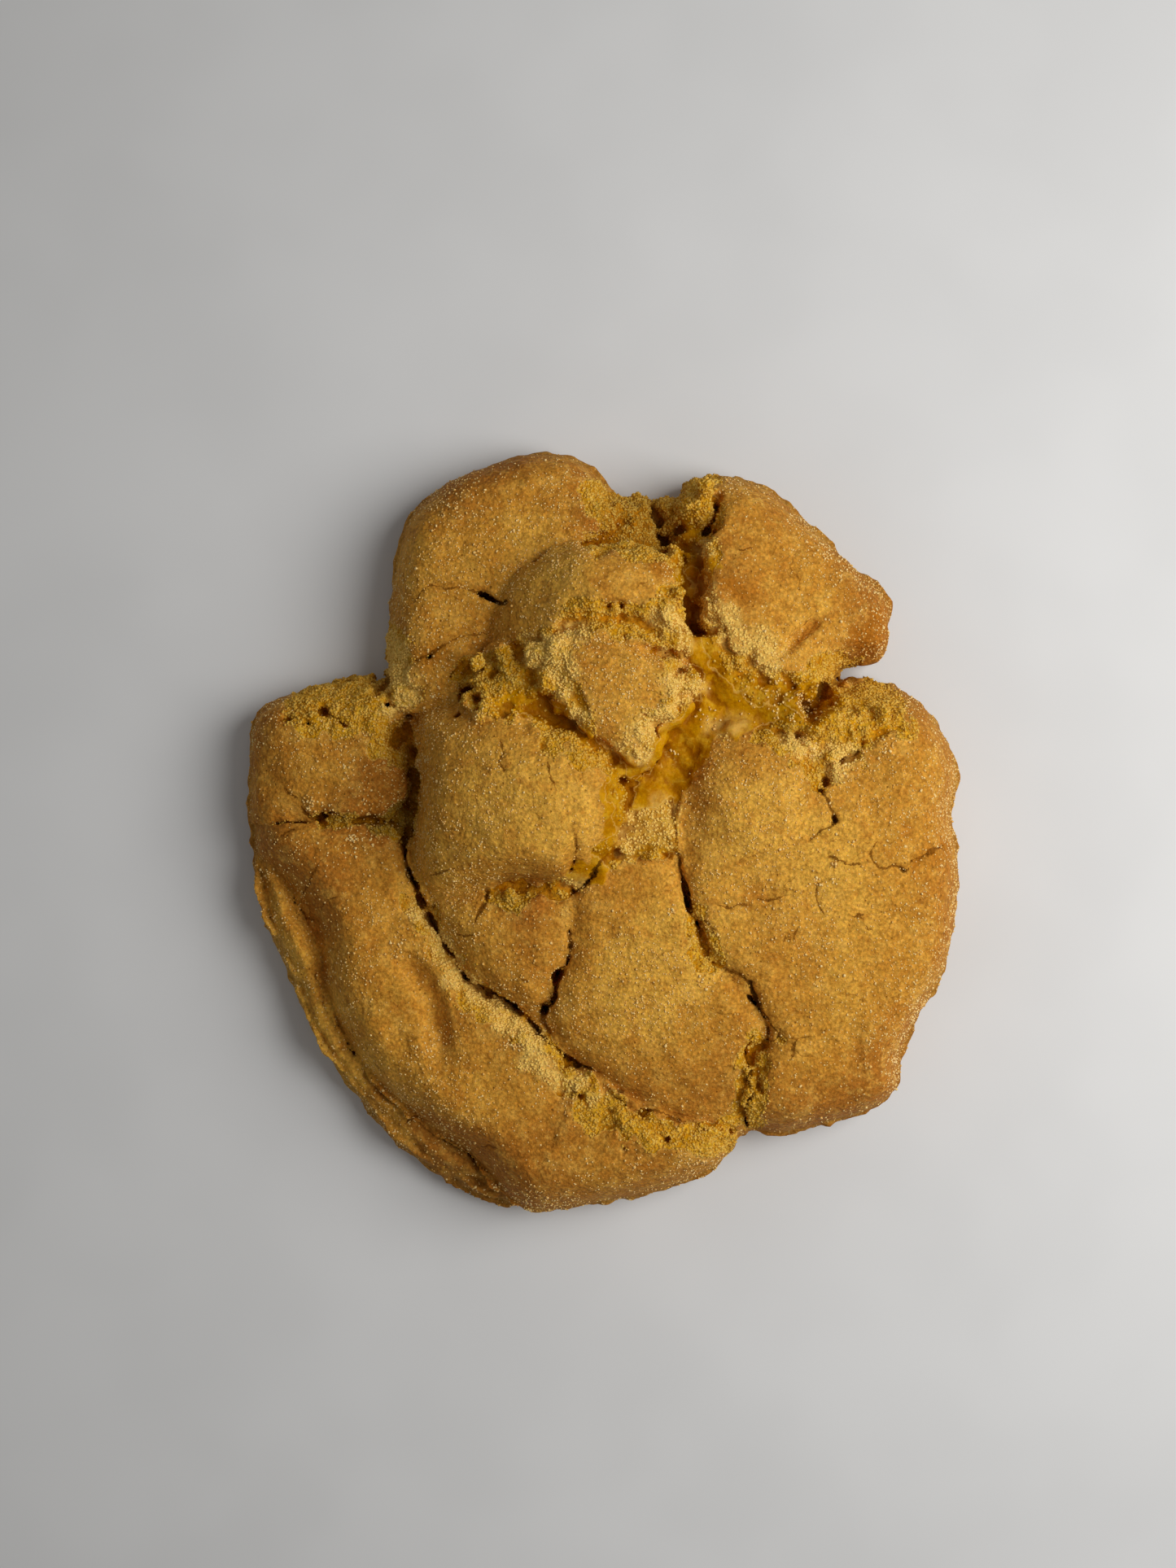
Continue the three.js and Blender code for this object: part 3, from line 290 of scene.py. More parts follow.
# Lumps of crumb: x, y, height of the middle, radius.
LUMPS = [
    (-12.5, -8, 18.4, 1), (-15.8, -9.2, 17.2, .8), (-8.4, -7.6, 19, .9), (-6.4, 24.6, 23.4, 1),
    (-8, 21.8, 22.6, .9), (-5, 20, 23, .8), (-30.6, 13, 11, 1.1), (-30, 9.4, 11.4, .9),
    (-29.4, 6, 11.6, .8), (1.2, 44.6, 9.2, 1.7), (4.4, 43.6, 9.4, 1.6), (2.6, 41.6, 9.2, 1.4),
    (5.6, 41.2, 8.8, 1.2), (-.6, 42.2, 9.6, 1.2), (6, 45.6, 8, 1.4), (9.4, 41.8, 7.4, 1),
    (8.2, 40.6, 7, .8), (11.6, 41.2, 9.6, 1.2), (13.2, 40.2, 9, 1), (12, 45.4, 14, 1.2),
    (13.8, 48, 13.4, 1.3), (-17.2, 23, 18.4, 1.5), (-15.6, 21.6, 18.6, 1.4), (-13.6, 24.4, 19, 1),
    (-8.8, 23, 21, 1.2), (-7.4, 20.6, 21, 1), (-9.8, 24.8, 21, .9), (-11.4, 20.2, 18, 1),
    (9.6, 27, 21.2, 1.5), (8.6, 30.4, 22, 1.3), (9.6, 32.4, 21.4, 1.1), (7.8, 28.6, 22, 1),
    (-28.8, 13.4, 9.8, 1.3), (-27.2, 11.8, 9.4, 1.1), (-27.8, 3.4, 9.6, 1), (-27.6, 1.2, 9.4, .9),
    (2.9, 26.7, 21.4, 1.8), (-6.4, 16.6, 20.6, 1.1), (-3.6, 13.6, 20.4, 1.2), (-.4, 11.6, 20, 1.1),
    (7.1, 14.7, 18.6, 1.3), (-29.6, 2.2, 10, .8), (-31.6, 1.8, 10.2, .7), (28.2, 18.6, 10.6, 1),
    (31, 19.6, 10.4, 1.1), (-16, 16.4, 21.4, 1.2), (-12.6, 15.8, 22, 1.1), (-9, 14.4, 22.6, 1),
    (3.6, 11.2, 19.8, 1.1), (11.4, 20.6, 19.4, 1.4), (10.4, 17.6, 18.8, 1), (2.4, -37.8, 13.6, 1.1),
    (6.2, -39, 13.8, 1.2), (9.6, -40.2, 13.6, 1.1), (-1.6, -35.6, 13.8, 1.1), (13, -41.2, 13, 1),
    (-6.4, -31.6, 13.6, .9), (30, 10.4, 17.4, 1), (33.4, 13.2, 16.6, 1.2), (37.6, 16.6, 15.4, 1.3),
    (35, 16.6, 15.6, 1), (31, 14.6, 16, 1), (39, 19.6, 13.6, 1.1), (21.6, 13.6, 17.2, 1),
    (17, 14.4, 17.4, 1.1), (-39, 19.6, 11.8, 1.2), (-36, 19.8, 11.6, 1), (-42.4, 18.2, 11.4, 1.1),
    (-30, 16.4, 10.4, .9),
]

# Soft dents: line, half width, depth; a ridge where the depth is below zero.
DENTS = [
    ([(-28.8, -16.8), (-26.4, -18.4), (-24.4, -21), (-23.4, -24), (-22.6, -28), (-22, -32.6)], 2.3, 1.8),
    ([(-29, -19), (-26.6, -22.6), (-25.6, -26), (-25, -30)], 2, -0.12),
    ([(-42, 3), (-38, 2.4), (-34, 1.4), (-28.6, -.4)], 2.1, 1.3),
    ([(-30, -27), (-28, -31), (-25.4, -34.4)], 3, .6),
    ([(30, 29.8), (28.4, 28.9), (26.6, 27.4), (25, 25.8), (23.8, 24.4)], 1.2, 1.7),
    ([(17, 33.4), (17.6, 31.8), (16.8, 30)], 1.6, .4),
    ([(11.6, 8), (11.9, 4), (11.6, -1), (11.5, -5)], 2, .7),
    ([(-14.4, -6.2), (-12, -7), (-9.4, -6.4), (-6.4, -6.4)], 1.8, 1.2),
    ([(-5, -4.4), (-4.2, -2.6), (-3.6, 0)], 1.6, .6),
    ([(1, -2.1), (2.2, -2.5)], 1, 1),
    ([(7.2, -2.4), (9.2, -3.2)], .9, .9),
    ([(3.8, -2.8), (5, -3.2)], .8, .6),
    ([(27, -34.6), (31, -35.8), (35, -35)], 3, .5),
    ([(-46, 13.6), (-46.4, 9), (-45.8, 5)], 2.4, .8),
    ([(22, -19), (26, -16.4), (30, -15)], 4, .4),
]

# Pits: x, y, bottom, radius.
PITS = [
    (.6, 30.6, 21.6, .3), (2.2, 30.5, 21.4, .4), (34.1, 14.4, 15, .15), (-20, 16.5, 17.6, .35),
    (11.6, 14.8, 16, .3), (-39, 17, 10, .5), (-32.4, 17.4, 10, .3), (8.6, -41.4, 13, .25),
    (-3.4, -35.7, 13, .25),
]

# Zones of the surface, as outlines: crust torn off, moist middle, pale broken crust, and toasted crust.
TORN = [
    [(-45, 17.8), (-44, 15.6), (-41.4, 15), (-38.4, 14.4), (-36.4, 13.6), (-34, 14.6), (-31, 14.2),
     (-28.6, 16), (-28.4, 18.6), (-30, 22), (-34, 22.4), (-40, 21.6)],
    [(-39.4, 2.8), (-39, 1.4), (-33, .4), (-28.4, -1.6), (-27.6, .8), (-32.6, 2)],
    [(-31, 14), (-29.4, 10), (-28.8, 5), (-28.9, 2), (-27.6, 2), (-27, 6), (-28, 14)],
    [(-16.6, -6.6), (-13, -6.2), (-9, -6.6), (-5.6, -5.8), (-5.2, -8), (-9, -8.8), (-13, -9.8),
     (-16.2, -9.4)],
    [(-31.4, 30), (-28.2, 29), (-26.6, 22), (-26, 18.6), (-27.6, 17), (-31.6, 18)],
    [(-2.6, 48.6), (11, 49), (14.4, 42), (13.6, 36), (-.6, 37.6), (-3, 40.4), (-.6, 43)],
    [(9.4, 50.8), (15.8, 50.8), (16.4, 46), (15.4, 41.4), (9.6, 42.6)],
    [(12.6, 42.6), (14.8, 42), (15, 38), (14.6, 34), (15, 30.4), (16.4, 27.4), (19, 24.8), (22.4, 23),
     (26.4, 22.4), (28, 24.6), (29, 26.8), (31, 26.6), (33.4, 26.4), (36, 26), (37, 24), (34, 20.8),
     (27.2, 18), (21.2, 18.6), (15.4, 23), (12.6, 29)],
    [(-9.6, 24.4), (-8.6, 27.6), (-5.2, 29.8), (-1, 30.8), (2.8, 31.2), (6, 31.4), (8.2, 33), (10.8, 33.4),
     (11.2, 29.6), (11.4, 24.6), (8.6, 24), (7.6, 25.2), (4, 25.6), (0, 26.8), (-4, 26.4)],
    [(9, 40.6), (11.2, 40.6), (11.2, 29), (9.4, 29), (9.8, 34)],
    [(-9.8, 24.6), (-7, 26.2), (-3.4, 26), (-4.4, 23), (-5, 20), (-4, 17.4), (-1.6, 14.8), (-3.2, 13.8),
     (-5.6, 17), (-7.2, 20), (-9, 22.4)],
    [(7.4, 25.2), (8.8, 24.6), (13.4, 20), (13, 18.6), (10.6, 17), (9.8, 15.4), (7.2, 14), (6, 11.8),
     (4.6, 9.6), (1.4, 11.4), (3, 13), (5.2, 15.8), (7.8, 17.4), (9.2, 20.2)],
    [(-19.6, 18.4), (-19, 24.4), (-13, 26), (-7.6, 26), (-5.6, 20), (-7, 17.4)],
    [(-17.4, 18.6), (-9, 18.8), (-5.6, 17.4), (-3.6, 15), (1, 11.8), (3.4, 9.6), (4.4, 6), (3.6, 2),
     (1.4, .4), (.4, 3), (.2, 7.4), (-.8, 9), (-3.2, 10.4), (-6.2, 11.4), (-8.6, 13.2), (-11.2, 14.8),
     (-14.4, 15.6), (-17, 16.4)],
    [(20, 13.2), (22.8, 11.4), (25.4, 9.2), (28, 5.8), (30.6, 6.8), (31.4, 8.8), (34, 10.4), (36.4, 12.4),
     (39, 13.8), (41.6, 15.2), (41.4, 19.8), (37.6, 22.4), (33, 21), (28, 17), (22, 15.6)],
    [(-12.4, -25.4), (-10.4, -26.2), (-7.4, -30), (-5.6, -34), (-4, -36.6), (.8, -41.6), (9, -42.8),
     (17.8, -43.8), (19.4, -41), (18.6, -39), (12, -39.8), (8, -38), (4, -38), (2.2, -35.6), (-1.4, -32.8),
     (-5, -31), (-9, -26.4)],
    [(.4, -3.6), (2.4, -3.2), (6, -3.6), (9.8, -3.8), (10, 1), (9, 5.4), (3, 4), (1, .4), (-.8, -2.2)],
    [(11, -9), (12.6, -9.4), (14.6, -12), (14.4, -14.6), (15.4, -17), (14.4, -18.4), (12.4, -16),
     (11.4, -12)],
    [(19.4, -26.8), (21.4, -27), (24, -28), (22.4, -30.4), (21.8, -34.6), (20.6, -41.8), (18.6, -41.8),
     (18.8, -35), (18.4, -30)],
    [(-25.8, -9.6), (-24, -10.2), (-21.6, -14.8), (-17, -20.8), (-10.6, -24.8), (-9.4, -27.6), (-11.8, -29),
     (-14.4, -26), (-18.6, -23.2), (-22.6, -18.6), (-25.4, -13.4), (-27.6, -9)],
]
MOIST = [
    [(10, 28.8), (14.2, 28), (16, 25), (19.4, 22.4), (23, 20.8), (26.4, 20), (28.6, 20.6), (29, 18),
     (27.4, 15.4), (23, 15), (19.6, 13.6), (15, 12.6), (12.4, 9), (10.4, 5), (9.6, 1), (9.4, -2), (5, -2.6),
     (2.4, -2.6), (.6, -4.6), (-4.4, -7.2), (-4.6, -5), (-1.6, -2.2), (-.2, 2), (.8, 7.4), (.8, 9.8),
     (-1.4, 12), (-4, 13.8), (-7, 15.4), (-10, 16.6), (-13, 17.4), (-16, 18), (-9, 18.8), (-5, 16.8),
     (-2, 13.6), (1.6, 11.2), (5.2, 10.2), (7, 14.2), (10, 15.6), (12.4, 19.4), (10, 24)],
    [(9.8, 42), (14, 41), (14, 30), (13.4, 28), (10.4, 28)],
    [(27, 19.8), (30.6, 21.6), (33, 22), (33, 19), (31.4, 16.8), (28, 15.4), (26, 17)],
]
PALE = [
    [(8, 27.6), (9.6, 28.8), (10.6, 28.2), (11, 25.4), (10, 24.4), (8.6, 25.6)],
    [(-6, 20.8), (-9.8, 22), (-9.8, 25.6), (-7, 27), (-2.4, 26.8), (-5.4, 23)],
    [(9.4, 23.6), (12.8, 20.8), (13.2, 19.2), (10, 17.4), (8, 19)],
    [(1, 11.8), (4, 10.2), (6.2, 12.6), (6.6, 15.4), (4.4, 14.6)],
    [(13, 40), (15, 39), (14.8, 35), (15.6, 32.4), (17.6, 30.6), (19, 28), (23, 27.6), (24.6, 25),
     (24, 22.4), (21, 22.2), (17, 24.8), (14, 28.4)],
    [(-9.4, 24.6), (-7, 26), (-4, 25.6), (-5, 20.4), (-4, 17.4), (-2, 14.8), (-3.2, 14.2), (-5.6, 17),
     (-7.2, 20)],
    [(7.6, 25), (10.4, 22.6), (12.8, 19.8), (12.4, 18.8), (9.8, 17), (9.2, 15.6), (7, 14.2), (5.6, 12),
     (4.4, 10), (2, 11.6), (3.4, 13), (5.6, 15.8), (8, 17.4), (9.4, 20.2)],
    [(6.6, 28.6), (7.4, 31.4), (9.4, 33), (10.4, 31), (10.6, 27), (9, 25.6)],
    [(-31, 27.4), (-28.4, 28.4), (-26.8, 22), (-26.4, 18), (-30.4, 18)],
    [(29.6, 8.4), (31, 11), (34, 13.6), (35, 12), (32.8, 9.6), (31.4, 8)],
    [(15, 15.4), (19.4, 15.6), (19.8, 13.4), (15.4, 12.8)],
    [(-8, 25.6), (-4.8, 26), (-3, 23), (-3.4, 18.8), (-5, 18), (-7.4, 19.6), (-9, 22)],
    [(1.4, .8), (4.8, .6), (4.8, -2), (2.2, -1.8)],
    [(7.6, 4.6), (9, 5), (9.4, 2.4), (8, 2)],
    [(-5.6, -6), (-4.6, -6), (-4.7, -10.6), (-5.5, -10.6)],
    [(-26.4, -10), (-24.2, -10.4), (-21.6, -14.8), (-17, -20.6), (-11, -25), (-8.4, -29), (-5.4, -32.6),
     (-2, -36), (-5, -35.6), (-9, -32), (-12.6, -28), (-17, -24.2), (-21, -20.2), (-24.4, -15)],
    [(3, 2.4), (6, 4), (8.6, 3), (9, -.6), (6, -1.8), (3.4, -.8)],
    [(22, 13), (26, 13.8), (29.6, 12.6), (29, 10), (25, 10.4)],
]
TOAST = [
    [(34.6, 28.8), (37.4, 31), (41, 31), (41, 25), (37.6, 23.4), (34.6, 24.6)],
    [(.4, 46), (4, 47.4), (9, 47.4), (12, 42.6), (11.4, 40), (5, 40.2), (1, 42)],
    [(40, 20.8), (41.6, 19.8), (44.8, 17), (43.8, 14), (41.4, 15.4), (39.8, 18.6)],
    [(42.8, -1.8), (45, -1.2), (47, -1), (46.6, -3), (43.4, -4.8), (41.6, -4.4)],
    [(-19, 26.4), (-21.4, 25), (-24, 23.2), (-26.4, 23), (-26.6, 24.6), (-23.6, 26.2), (-20.6, 27.4)],
    [(5, 38), (9.8, 37.4), (9.8, 35.4), (6.4, 35.6)],
    [(16, 35.4), (19.6, 35), (19.4, 30.8), (16, 31)],
    [(-42.4, 18.4), (-40.4, 18.8), (-40.4, 16.2), (-44.6, 15.8)],
]

# Crust that is browner, or paler where below zero, partly from baking and partly as painted shade and painted
# light: x, y, radius, amount.
BROWNING_AND_SHADE = [
    (-13, 7, 8, -.4), (-4, 34, 8, -.3), (8, -16, 10, -.65), (2, -26, 7, -.3), (20, 3, 8, -.4),
    (-25, -22, 6, -.2), (-16, -36, 6, -.3), (30, -14, 8, 0.02), (24, 24, 6, -.4), (-40, -6, 8, .4),
    (-14, -40, 14, .42), (34, -34, 10, .4), (37, 31, 6, .4), (12, -32, 9, .3), (-10, -14, 8, .3),
    (22, 36, 8, .5), (-4, 3, 5, -.4), (-25, 37, 7, -.7), (-38, -10, 9, .3), (2, 43, 6, .45),
    (24, 17, 5, .8), (11.6, 3, 2.4, .2), (-14, 22, 3.4, .7), (-22, -28, 4.5, .1), (-30, 5, 4, .8),
    (-10.6, -8, 4, .7), (-46.6, -10, 5, -.7), (-44.4, -18, 5, -.6), (-41, -26, 5, -.6), (-36, -34, 5, -.6),
    (-29, -42, 5, -.4), (38, 27, 3, .9), (-40.4, -12, 2.5, .7), (-39.6, -20, 2.2, .6),
    (-36.6, -28, 2.2, .5), (-31, -35.6, 2.2, .5), (-25, -40.6, 2.4, .5), (-37, 2.4, 2, .6),
    (-30, 1.8, 3, 1), (-18, 43, 7, .3), (2.4, 26.8, 1.6, .5), (-31, 8, 4, .4),
]

# ---------------------------------------------------------------- the plan grid and its helpers
XS = np.arange(-52.4, 52.4, PITCH)
YS = np.arange(-55.6, 55.6, PITCH)
ZS = np.arange(-0.9, 28.4, PITCH)
GX, GY = (g.astype(np.float32) for g in np.meshgrid(XS, YS, indexing="ij"))


def smooth(t):
    """An even rise from 0 to 1, for t from 0 to 1."""
    t = np.clip(t, 0, 1)
    return t * t * (3 - 2 * t)


def spline(points, closed, steps=4):
    """A smooth line through the points."""
    p = np.asarray(points, float)
    if closed:
        a, b, c, d = (np.roll(p, k, axis=0) for k in (1, 0, -1, -2))
    else:
        p = np.vstack([2 * p[0] - p[1], p, 2 * p[-1] - p[-2]])
        a, b, c, d = p[:-3], p[1:-2], p[2:-1], p[3:]
    t = (np.arange(steps) / steps)[None, :, None]
    a, b, c, d = (q[:, None, :] for q in (a, b, c, d))
    line = 0.5 * (2 * b + (c - a) * t + (2 * a - 5 * b + 4 * c - d) * t ** 2
                  + (3 * b - a - 3 * c + d) * t ** 3)
    line = line.reshape(-1, 2)
    return line if closed else np.vstack([line, p[-2]])


def line_distance(line, closed):
    """Distance of each grid point from a line, how far along it the point is (0 to 1), and on which side."""
    ends = np.roll(line, -1, axis=0) if closed else line[1:]
    starts = line if closed else line[:-1]
    best = np.full(GX.shape, 1e9, np.float32)
    along = np.zeros(GX.shape, np.float32)
    left = np.ones(GX.shape, np.float32)
    for i, ((ax, ay), (bx, by)) in enumerate(zip(starts, ends)):
        dx, dy = bx - ax, by - ay
        t = np.clip(((GX - ax) * dx + (GY - ay) * dy) / (dx * dx + dy * dy + 1e-9), 0, 1)
        d = (GX - ax - t * dx) ** 2 + (GY - ay - t * dy) ** 2
        near = d < best
        best[near] = d[near]
        along[near] = (i + t[near]) / len(starts)
        left[near] = np.where(dx * (GY[near] - ay) > dy * (GX[near] - ax), 1, -1)
    return np.sqrt(best), along, left


def outline_distance(line):
    """Signed distance to a closed line, below zero inside."""
    d, _, _ = line_distance(line, True)
    inside = np.zeros(GX.shape, bool)
    for (ax, ay), (bx, by) in zip(line, np.roll(line, -1, axis=0)):
        if ay != by:
            crosses = (GY > min(ay, by)) & (GY <= max(ay, by)) & (GX < ax + (GY - ay) * (bx - ax) / (by - ay))
            inside ^= crosses
    return np.where(inside, -d, d)


def spread(count, step):
    """Cubic B-spline weights from a coarse lattice to the grid."""
    at = np.arange(count) * PITCH / step + 1.5
    base = np.floor(at).astype(int)
    f = at - base
    w = np.zeros((count, base.max() + 3), np.float32)
    rows = np.arange(count)
    weights = (1 - f) ** 3, 3 * f ** 3 - 6 * f ** 2 + 4, -3 * f ** 3 + 3 * f ** 2 + 3 * f + 1, f ** 3
    for k, v in enumerate(weights):
        w[rows, base - 1 + k] = v / 6
    return w


def noise2(step, seed):
    """Smooth noise over the plan with a mean of about 0 and a spread of 1; step is its coarseness."""
    wx, wy = spread(len(XS), step), spread(len(YS), step)
    lattice = np.random.default_rng(seed).standard_normal((wx.shape[1], wy.shape[1])).astype(np.float32)
    out = wx @ lattice @ wy.T
    return out / out.std()


def noise3(step, seed):
    """The same, over the whole grid."""
    wx, wy, wz = spread(len(XS), step), spread(len(YS), step), spread(len(ZS), step)
    shape = (wx.shape[1], wy.shape[1], wz.shape[1])
    lattice = np.random.default_rng(seed).standard_normal(shape).astype(np.float32)
    out = np.tensordot(wz, lattice, (1, 2))
    out = np.tensordot(wx, out, (1, 1))
    out = np.tensordot(out, wy, (2, 1)).transpose(0, 2, 1)
    return np.ascontiguousarray(out / out.std())


def cells(px, py, pz, size, seed):
    """Distance, in cells, from each point to the nearest of a jittered set of points: round crumbs."""
    p = np.stack([px, py, pz]) / size
    low = np.floor(p.min(axis=1)).astype(int) - 2
    base = np.floor(p).astype(int)
    shape = tuple(base.max(axis=1) - low + 4)
    jitter = np.random.default_rng(seed).random((3,) + shape).astype(np.float32)
    f = (p - base).astype(np.float32)
    base -= low[:, None]
    best = np.full(px.shape, 9.0, np.float32)
    for i in (-1, 0, 1):
        for j in (-1, 0, 1):
            for k in (-1, 0, 1):
                at = jitter[:, base[0] + i, base[1] + j, base[2] + k]
                d = (i + at[0] - f[0]) ** 2 + (j + at[1] - f[1]) ** 2 + (k + at[2] - f[2]) ** 2
                np.minimum(best, d, out=best)
    return np.sqrt(best)


def toward(setting, dx, dy):
    """The value of an east, north, west and south setting in the direction of each point."""
    east, north, west, south = setting
    r = dx * dx + dy * dy + 1e-6
    return (np.where(dx > 0, east, west) * dx * dx + np.where(dy > 0, north, south) * dy * dy) / r


def blob(px, py, x, y, square):
    """A round spot, 1 in its middle and about a third where the squared distance is the given square."""
    return np.exp(-((px - x) ** 2 + (py - y) ** 2) / square)


def zone(outlines, soft, seed, rough=0.8):
    """1 inside any of the outlines and 0 outside, with an uneven soft edge."""
    wobble = noise2(1.6, seed) * rough * 0.6 + noise2(0.7, seed + 1) * rough * 0.3
    out = np.zeros(GX.shape, np.float32)
    for outline in outlines:
        d = outline_distance(spline(outline, True)) + wobble
        out = np.maximum(out, smooth(0.5 - d / soft))
    return out


# ---------------------------------------------------------------- the shape of the dough
rim = outline_distance(spline(RIM, True))
near_rim = np.clip(-rim / RIM_ROUND, 0, 1)
# the highest that the rounded rim lets the dough be, with no limit further in
rim_limit = np.where(near_rim < 1, RIM_EDGE + RIM_RISE * (1 - (1 - near_rim) ** 2), 99)
swell = 0.22 * noise2(9, 1) + 0.13 * noise2(4, 2) + 0.05 * noise2(1.8, 3)
torn = zone(TORN, 0.6, 40, 1.1)
moist = zone(MOIST, 1.2, 50, 1)
pale = zone(PALE, 1.0, 60, 1.1)
toast = zone(TOAST, 2.0, 70)
edge_a, edge_b, edge_c, edge_d = noise2(2.2, 10), noise2(1.0, 11), noise2(5.0, 12), noise2(0.6, 13)

# Paler and browner parts of the crust, partly from baking and partly painted light and painted shade.
browned_and_shaded = 0.12 * noise2(8, 30)
for x, y, radius, amount in BROWNING_AND_SHADE:
    browned_and_shaded = browned_and_shaded + amount * blob(GX, GY, x, y, radius ** 2)

# Dents press the tops down.
push = np.zeros(GX.shape, np.float32)
for line, half, depth in DENTS:
    d, along, _ = line_distance(spline(line, False), False)
    fade = np.clip(np.sin(np.pi * np.clip(along, 0.06, 0.94)) * 1.5, 0, 1)
    push = push + (depth * fade * np.clip(1 - (d / half) ** 2, 0, 1) ** 1.5)

Z3 = ZS.astype(np.float32)[None, None, :]
field = np.full((len(XS), len(YS), len(ZS)), 9.0, np.float32)
crust_top = np.full(GX.shape, -9.0, np.float32)  # the highest crust over each point of the plan


def smooth_min(a, b, k):
    """The smaller of two values, with the change from one to the other rounded over k."""
    return np.minimum(a, b) - 0.25 * k * np.maximum(0, 1 - np.abs(a - b) / k) ** 2


def smooth_max(a, b, k):
    return -smooth_min(-a, -b, k)


def window(mask):
    """The slices of the plan that hold the mask."""
    x, y = np.flatnonzero(mask.any(axis=1)), np.flatnonzero(mask.any(axis=0))
    return np.s_[x[0]:x[-1] + 1, y[0]:y[-1] + 1]


def fall(drop, distance, width):
    """How far an edge has fallen at this distance inside it."""
    return drop * (1 - np.clip(distance / width, 0, 1)) ** 2


def add(outline_d, top, low, blend, grow=GROW):
    """Joins a body with this plan and top to the dough; low is a map of its underside, or 0 for the floor."""
    part = window(outline_d < 3)
    top = top - push
    d, t = outline_d[part][:, :, None], top[part][:, :, None]
    below = np.maximum(t - Z3, 0)
    side = d - grow - FLARE * np.minimum(below, FLARE_DEPTH)
    f = smooth_max(side, (Z3 - t) * 0.9, EDGE_ROUND)
    if np.ndim(low):
        f = np.maximum(f, low[part][:, :, None] - Z3)
    field[part] = smooth_min(field[part], f, max(blend, 0.3))
    crust_top[part] = np.maximum(crust_top[part], np.where(outline_d[part] < grow, top[part], -9))


bed = BED_TOP + 0.5 * noise2(5, 20) + 0.35 * noise2(2, 21) + BED_RISE * smooth((-rim - 3) / 8)
add(rim + BED_INSET + 0.3 * edge_a, bed, 0, 0, 0)
torn_edge = torn * (0.3 * edge_b + 0.2 * edge_d)

for lobe in LOBES:
    outer, inner = spline(lobe["outer"], False), spline(lobe["inner"], False)
    d = outline_distance(np.vstack([outer, inner[::-1]])) + 0.15 * edge_a + 0.12 * edge_b + torn_edge
    to_outer, along, _ = line_distance(outer, False)
    to_inner, _, _ = line_distance(inner, False)
    top = np.interp(along, (0, 1), lobe["top"]) + swell
    top = top - fall(lobe["outer_drop"], to_outer, lobe["outer_width"])
    top = top - fall(lobe["inner_drop"], to_inner, lobe["inner_width"])
    if lobe["name"].startswith("lip"):
        low = lobe["low"] + 0.35 * edge_a + 0.25 * edge_b if lobe["low"] else 0
        top = top + 0.35 * edge_c + 0.2 * edge_a + 0.2 * edge_b
    else:
        low, top = 0, smooth_min(top, rim_limit, 4)
    add(d, top, low, lobe["blend"])

for plate in PLATES:
    cx, cy = plate["centre"]
    dx, dy = GX - cx, GY - cy
    d = outline_distance(spline(plate["outline"], True))
    d = d + plate["ragged"] * (0.5 * edge_a + 0.35 * edge_b) + torn_edge
    rise_x, rise_y = plate["tilt"]
    top = plate["top"] + rise_x * dx + rise_y * dy - plate["dome"] * (dx * dx + dy * dy)
    top = top - fall(toward(plate["drop"], dx, dy), -d, plate["width"]) + swell
    top = smooth_min(top, rim_limit, 4)
    # a free underside comes down at its east end, where the plate is joined to the dough
    low = plate["foot"] - 6 * smooth((GX - 2) / 3) if "foot" in plate else 0
    add(d, top, low, plate["blend"])

for x, y, z, radius in LUMPS:
    r = np.hypot(GX - x, GY - y) + 0.25 * edge_b
    part = window(r < radius + 2)
    ball = np.sqrt(r[part][:, :, None] ** 2 + (1.2 * (Z3 - z)) ** 2) - radius
    field[part] = smooth_min(field[part], ball, 0.7)

# The lower edge of the rim turns in, so that the cookie stands on a flat underside inside its outline.
foot = FOOT_INSET * np.clip(1 - Z3 / FOOT_HEIGHT, 0, 1) ** 2
np.maximum(field, rim[:, :, None] - 0.5 + foot, out=field)

# Cracks cut down from the crust, wide at the top and closed at the bottom. Hair cracks are shallow grooves.
# The maps of the side and the width let the material draw each crack as a thin line, partly painted shade.
crack_line = np.full(GX.shape, 9.0, np.float32)
crack_width = np.zeros(GX.shape, np.float32)
for line, deeper, ragged in CRACKS:
    line = np.asarray(line, float)
    d, along, left = line_distance(line[:, :2], False)
    part = window(d < 3)
    d, along, left = d[part], along[part], left[part]
    width = np.interp(along * (len(line) - 1), np.arange(len(line)), line[:, 2])
    open_part = smooth((width - 0.45) / 0.4)
    depth = np.clip(deeper * width, 1.0, 7) * open_part + 0.22
    half = 0.5 * np.maximum(0.8 * width, 0.3)
    sway = ragged * (0.45 * edge_b[part] + 0.2 * edge_a[part] + 0.4 * edge_d[part]) * np.clip(half, 0.3, 0.6)
    nearer = d < np.abs(crack_line[part])
    crack_line[part][nearer] = (d * left + sway * left)[nearer]
    inner = (along > 0.004) & (along < 0.996) & (d < 0.75)
    crack_width[part][nearer] = (np.maximum(width, 0.2) * inner)[nearer]
    below = (crust_top[part][:, :, None] - Z3) / depth[:, :, None]
    cut = half[:, :, None] * (1 - np.clip(below, -0.3, 1.5) ** 2) - (d + sway)[:, :, None]
    field[part] = smooth_max(field[part], cut, 0.2)

for outline, floor, lean in HOLES:
    d = outline_distance(spline(outline, True)) + 0.3 * edge_b + 0.12 * edge_a
    part = window(d < 1)
    cut = np.minimum(-d[part][:, :, None] - lean * np.maximum(crust_top[part][:, :, None] - Z3, 0),
                     Z3 - (floor + 0.5 * edge_a + 0.4 * edge_b)[part][:, :, None])
    field[part] = smooth_max(field[part], cut, 0.3)

for x, y, bottom, radius in PITS:
    r = np.hypot(GX - x, GY - y) * (1 + 0.2 * edge_b + 0.12 * edge_a)
    part = window(r < radius + 2)
    hole = radius * np.clip(0.7 + (Z3 - bottom) * 0.08, 0.6, 1.2) - r[part][:, :, None]
    field[part] = smooth_max(field[part], np.minimum(hole, Z3 - bottom), 0.25)

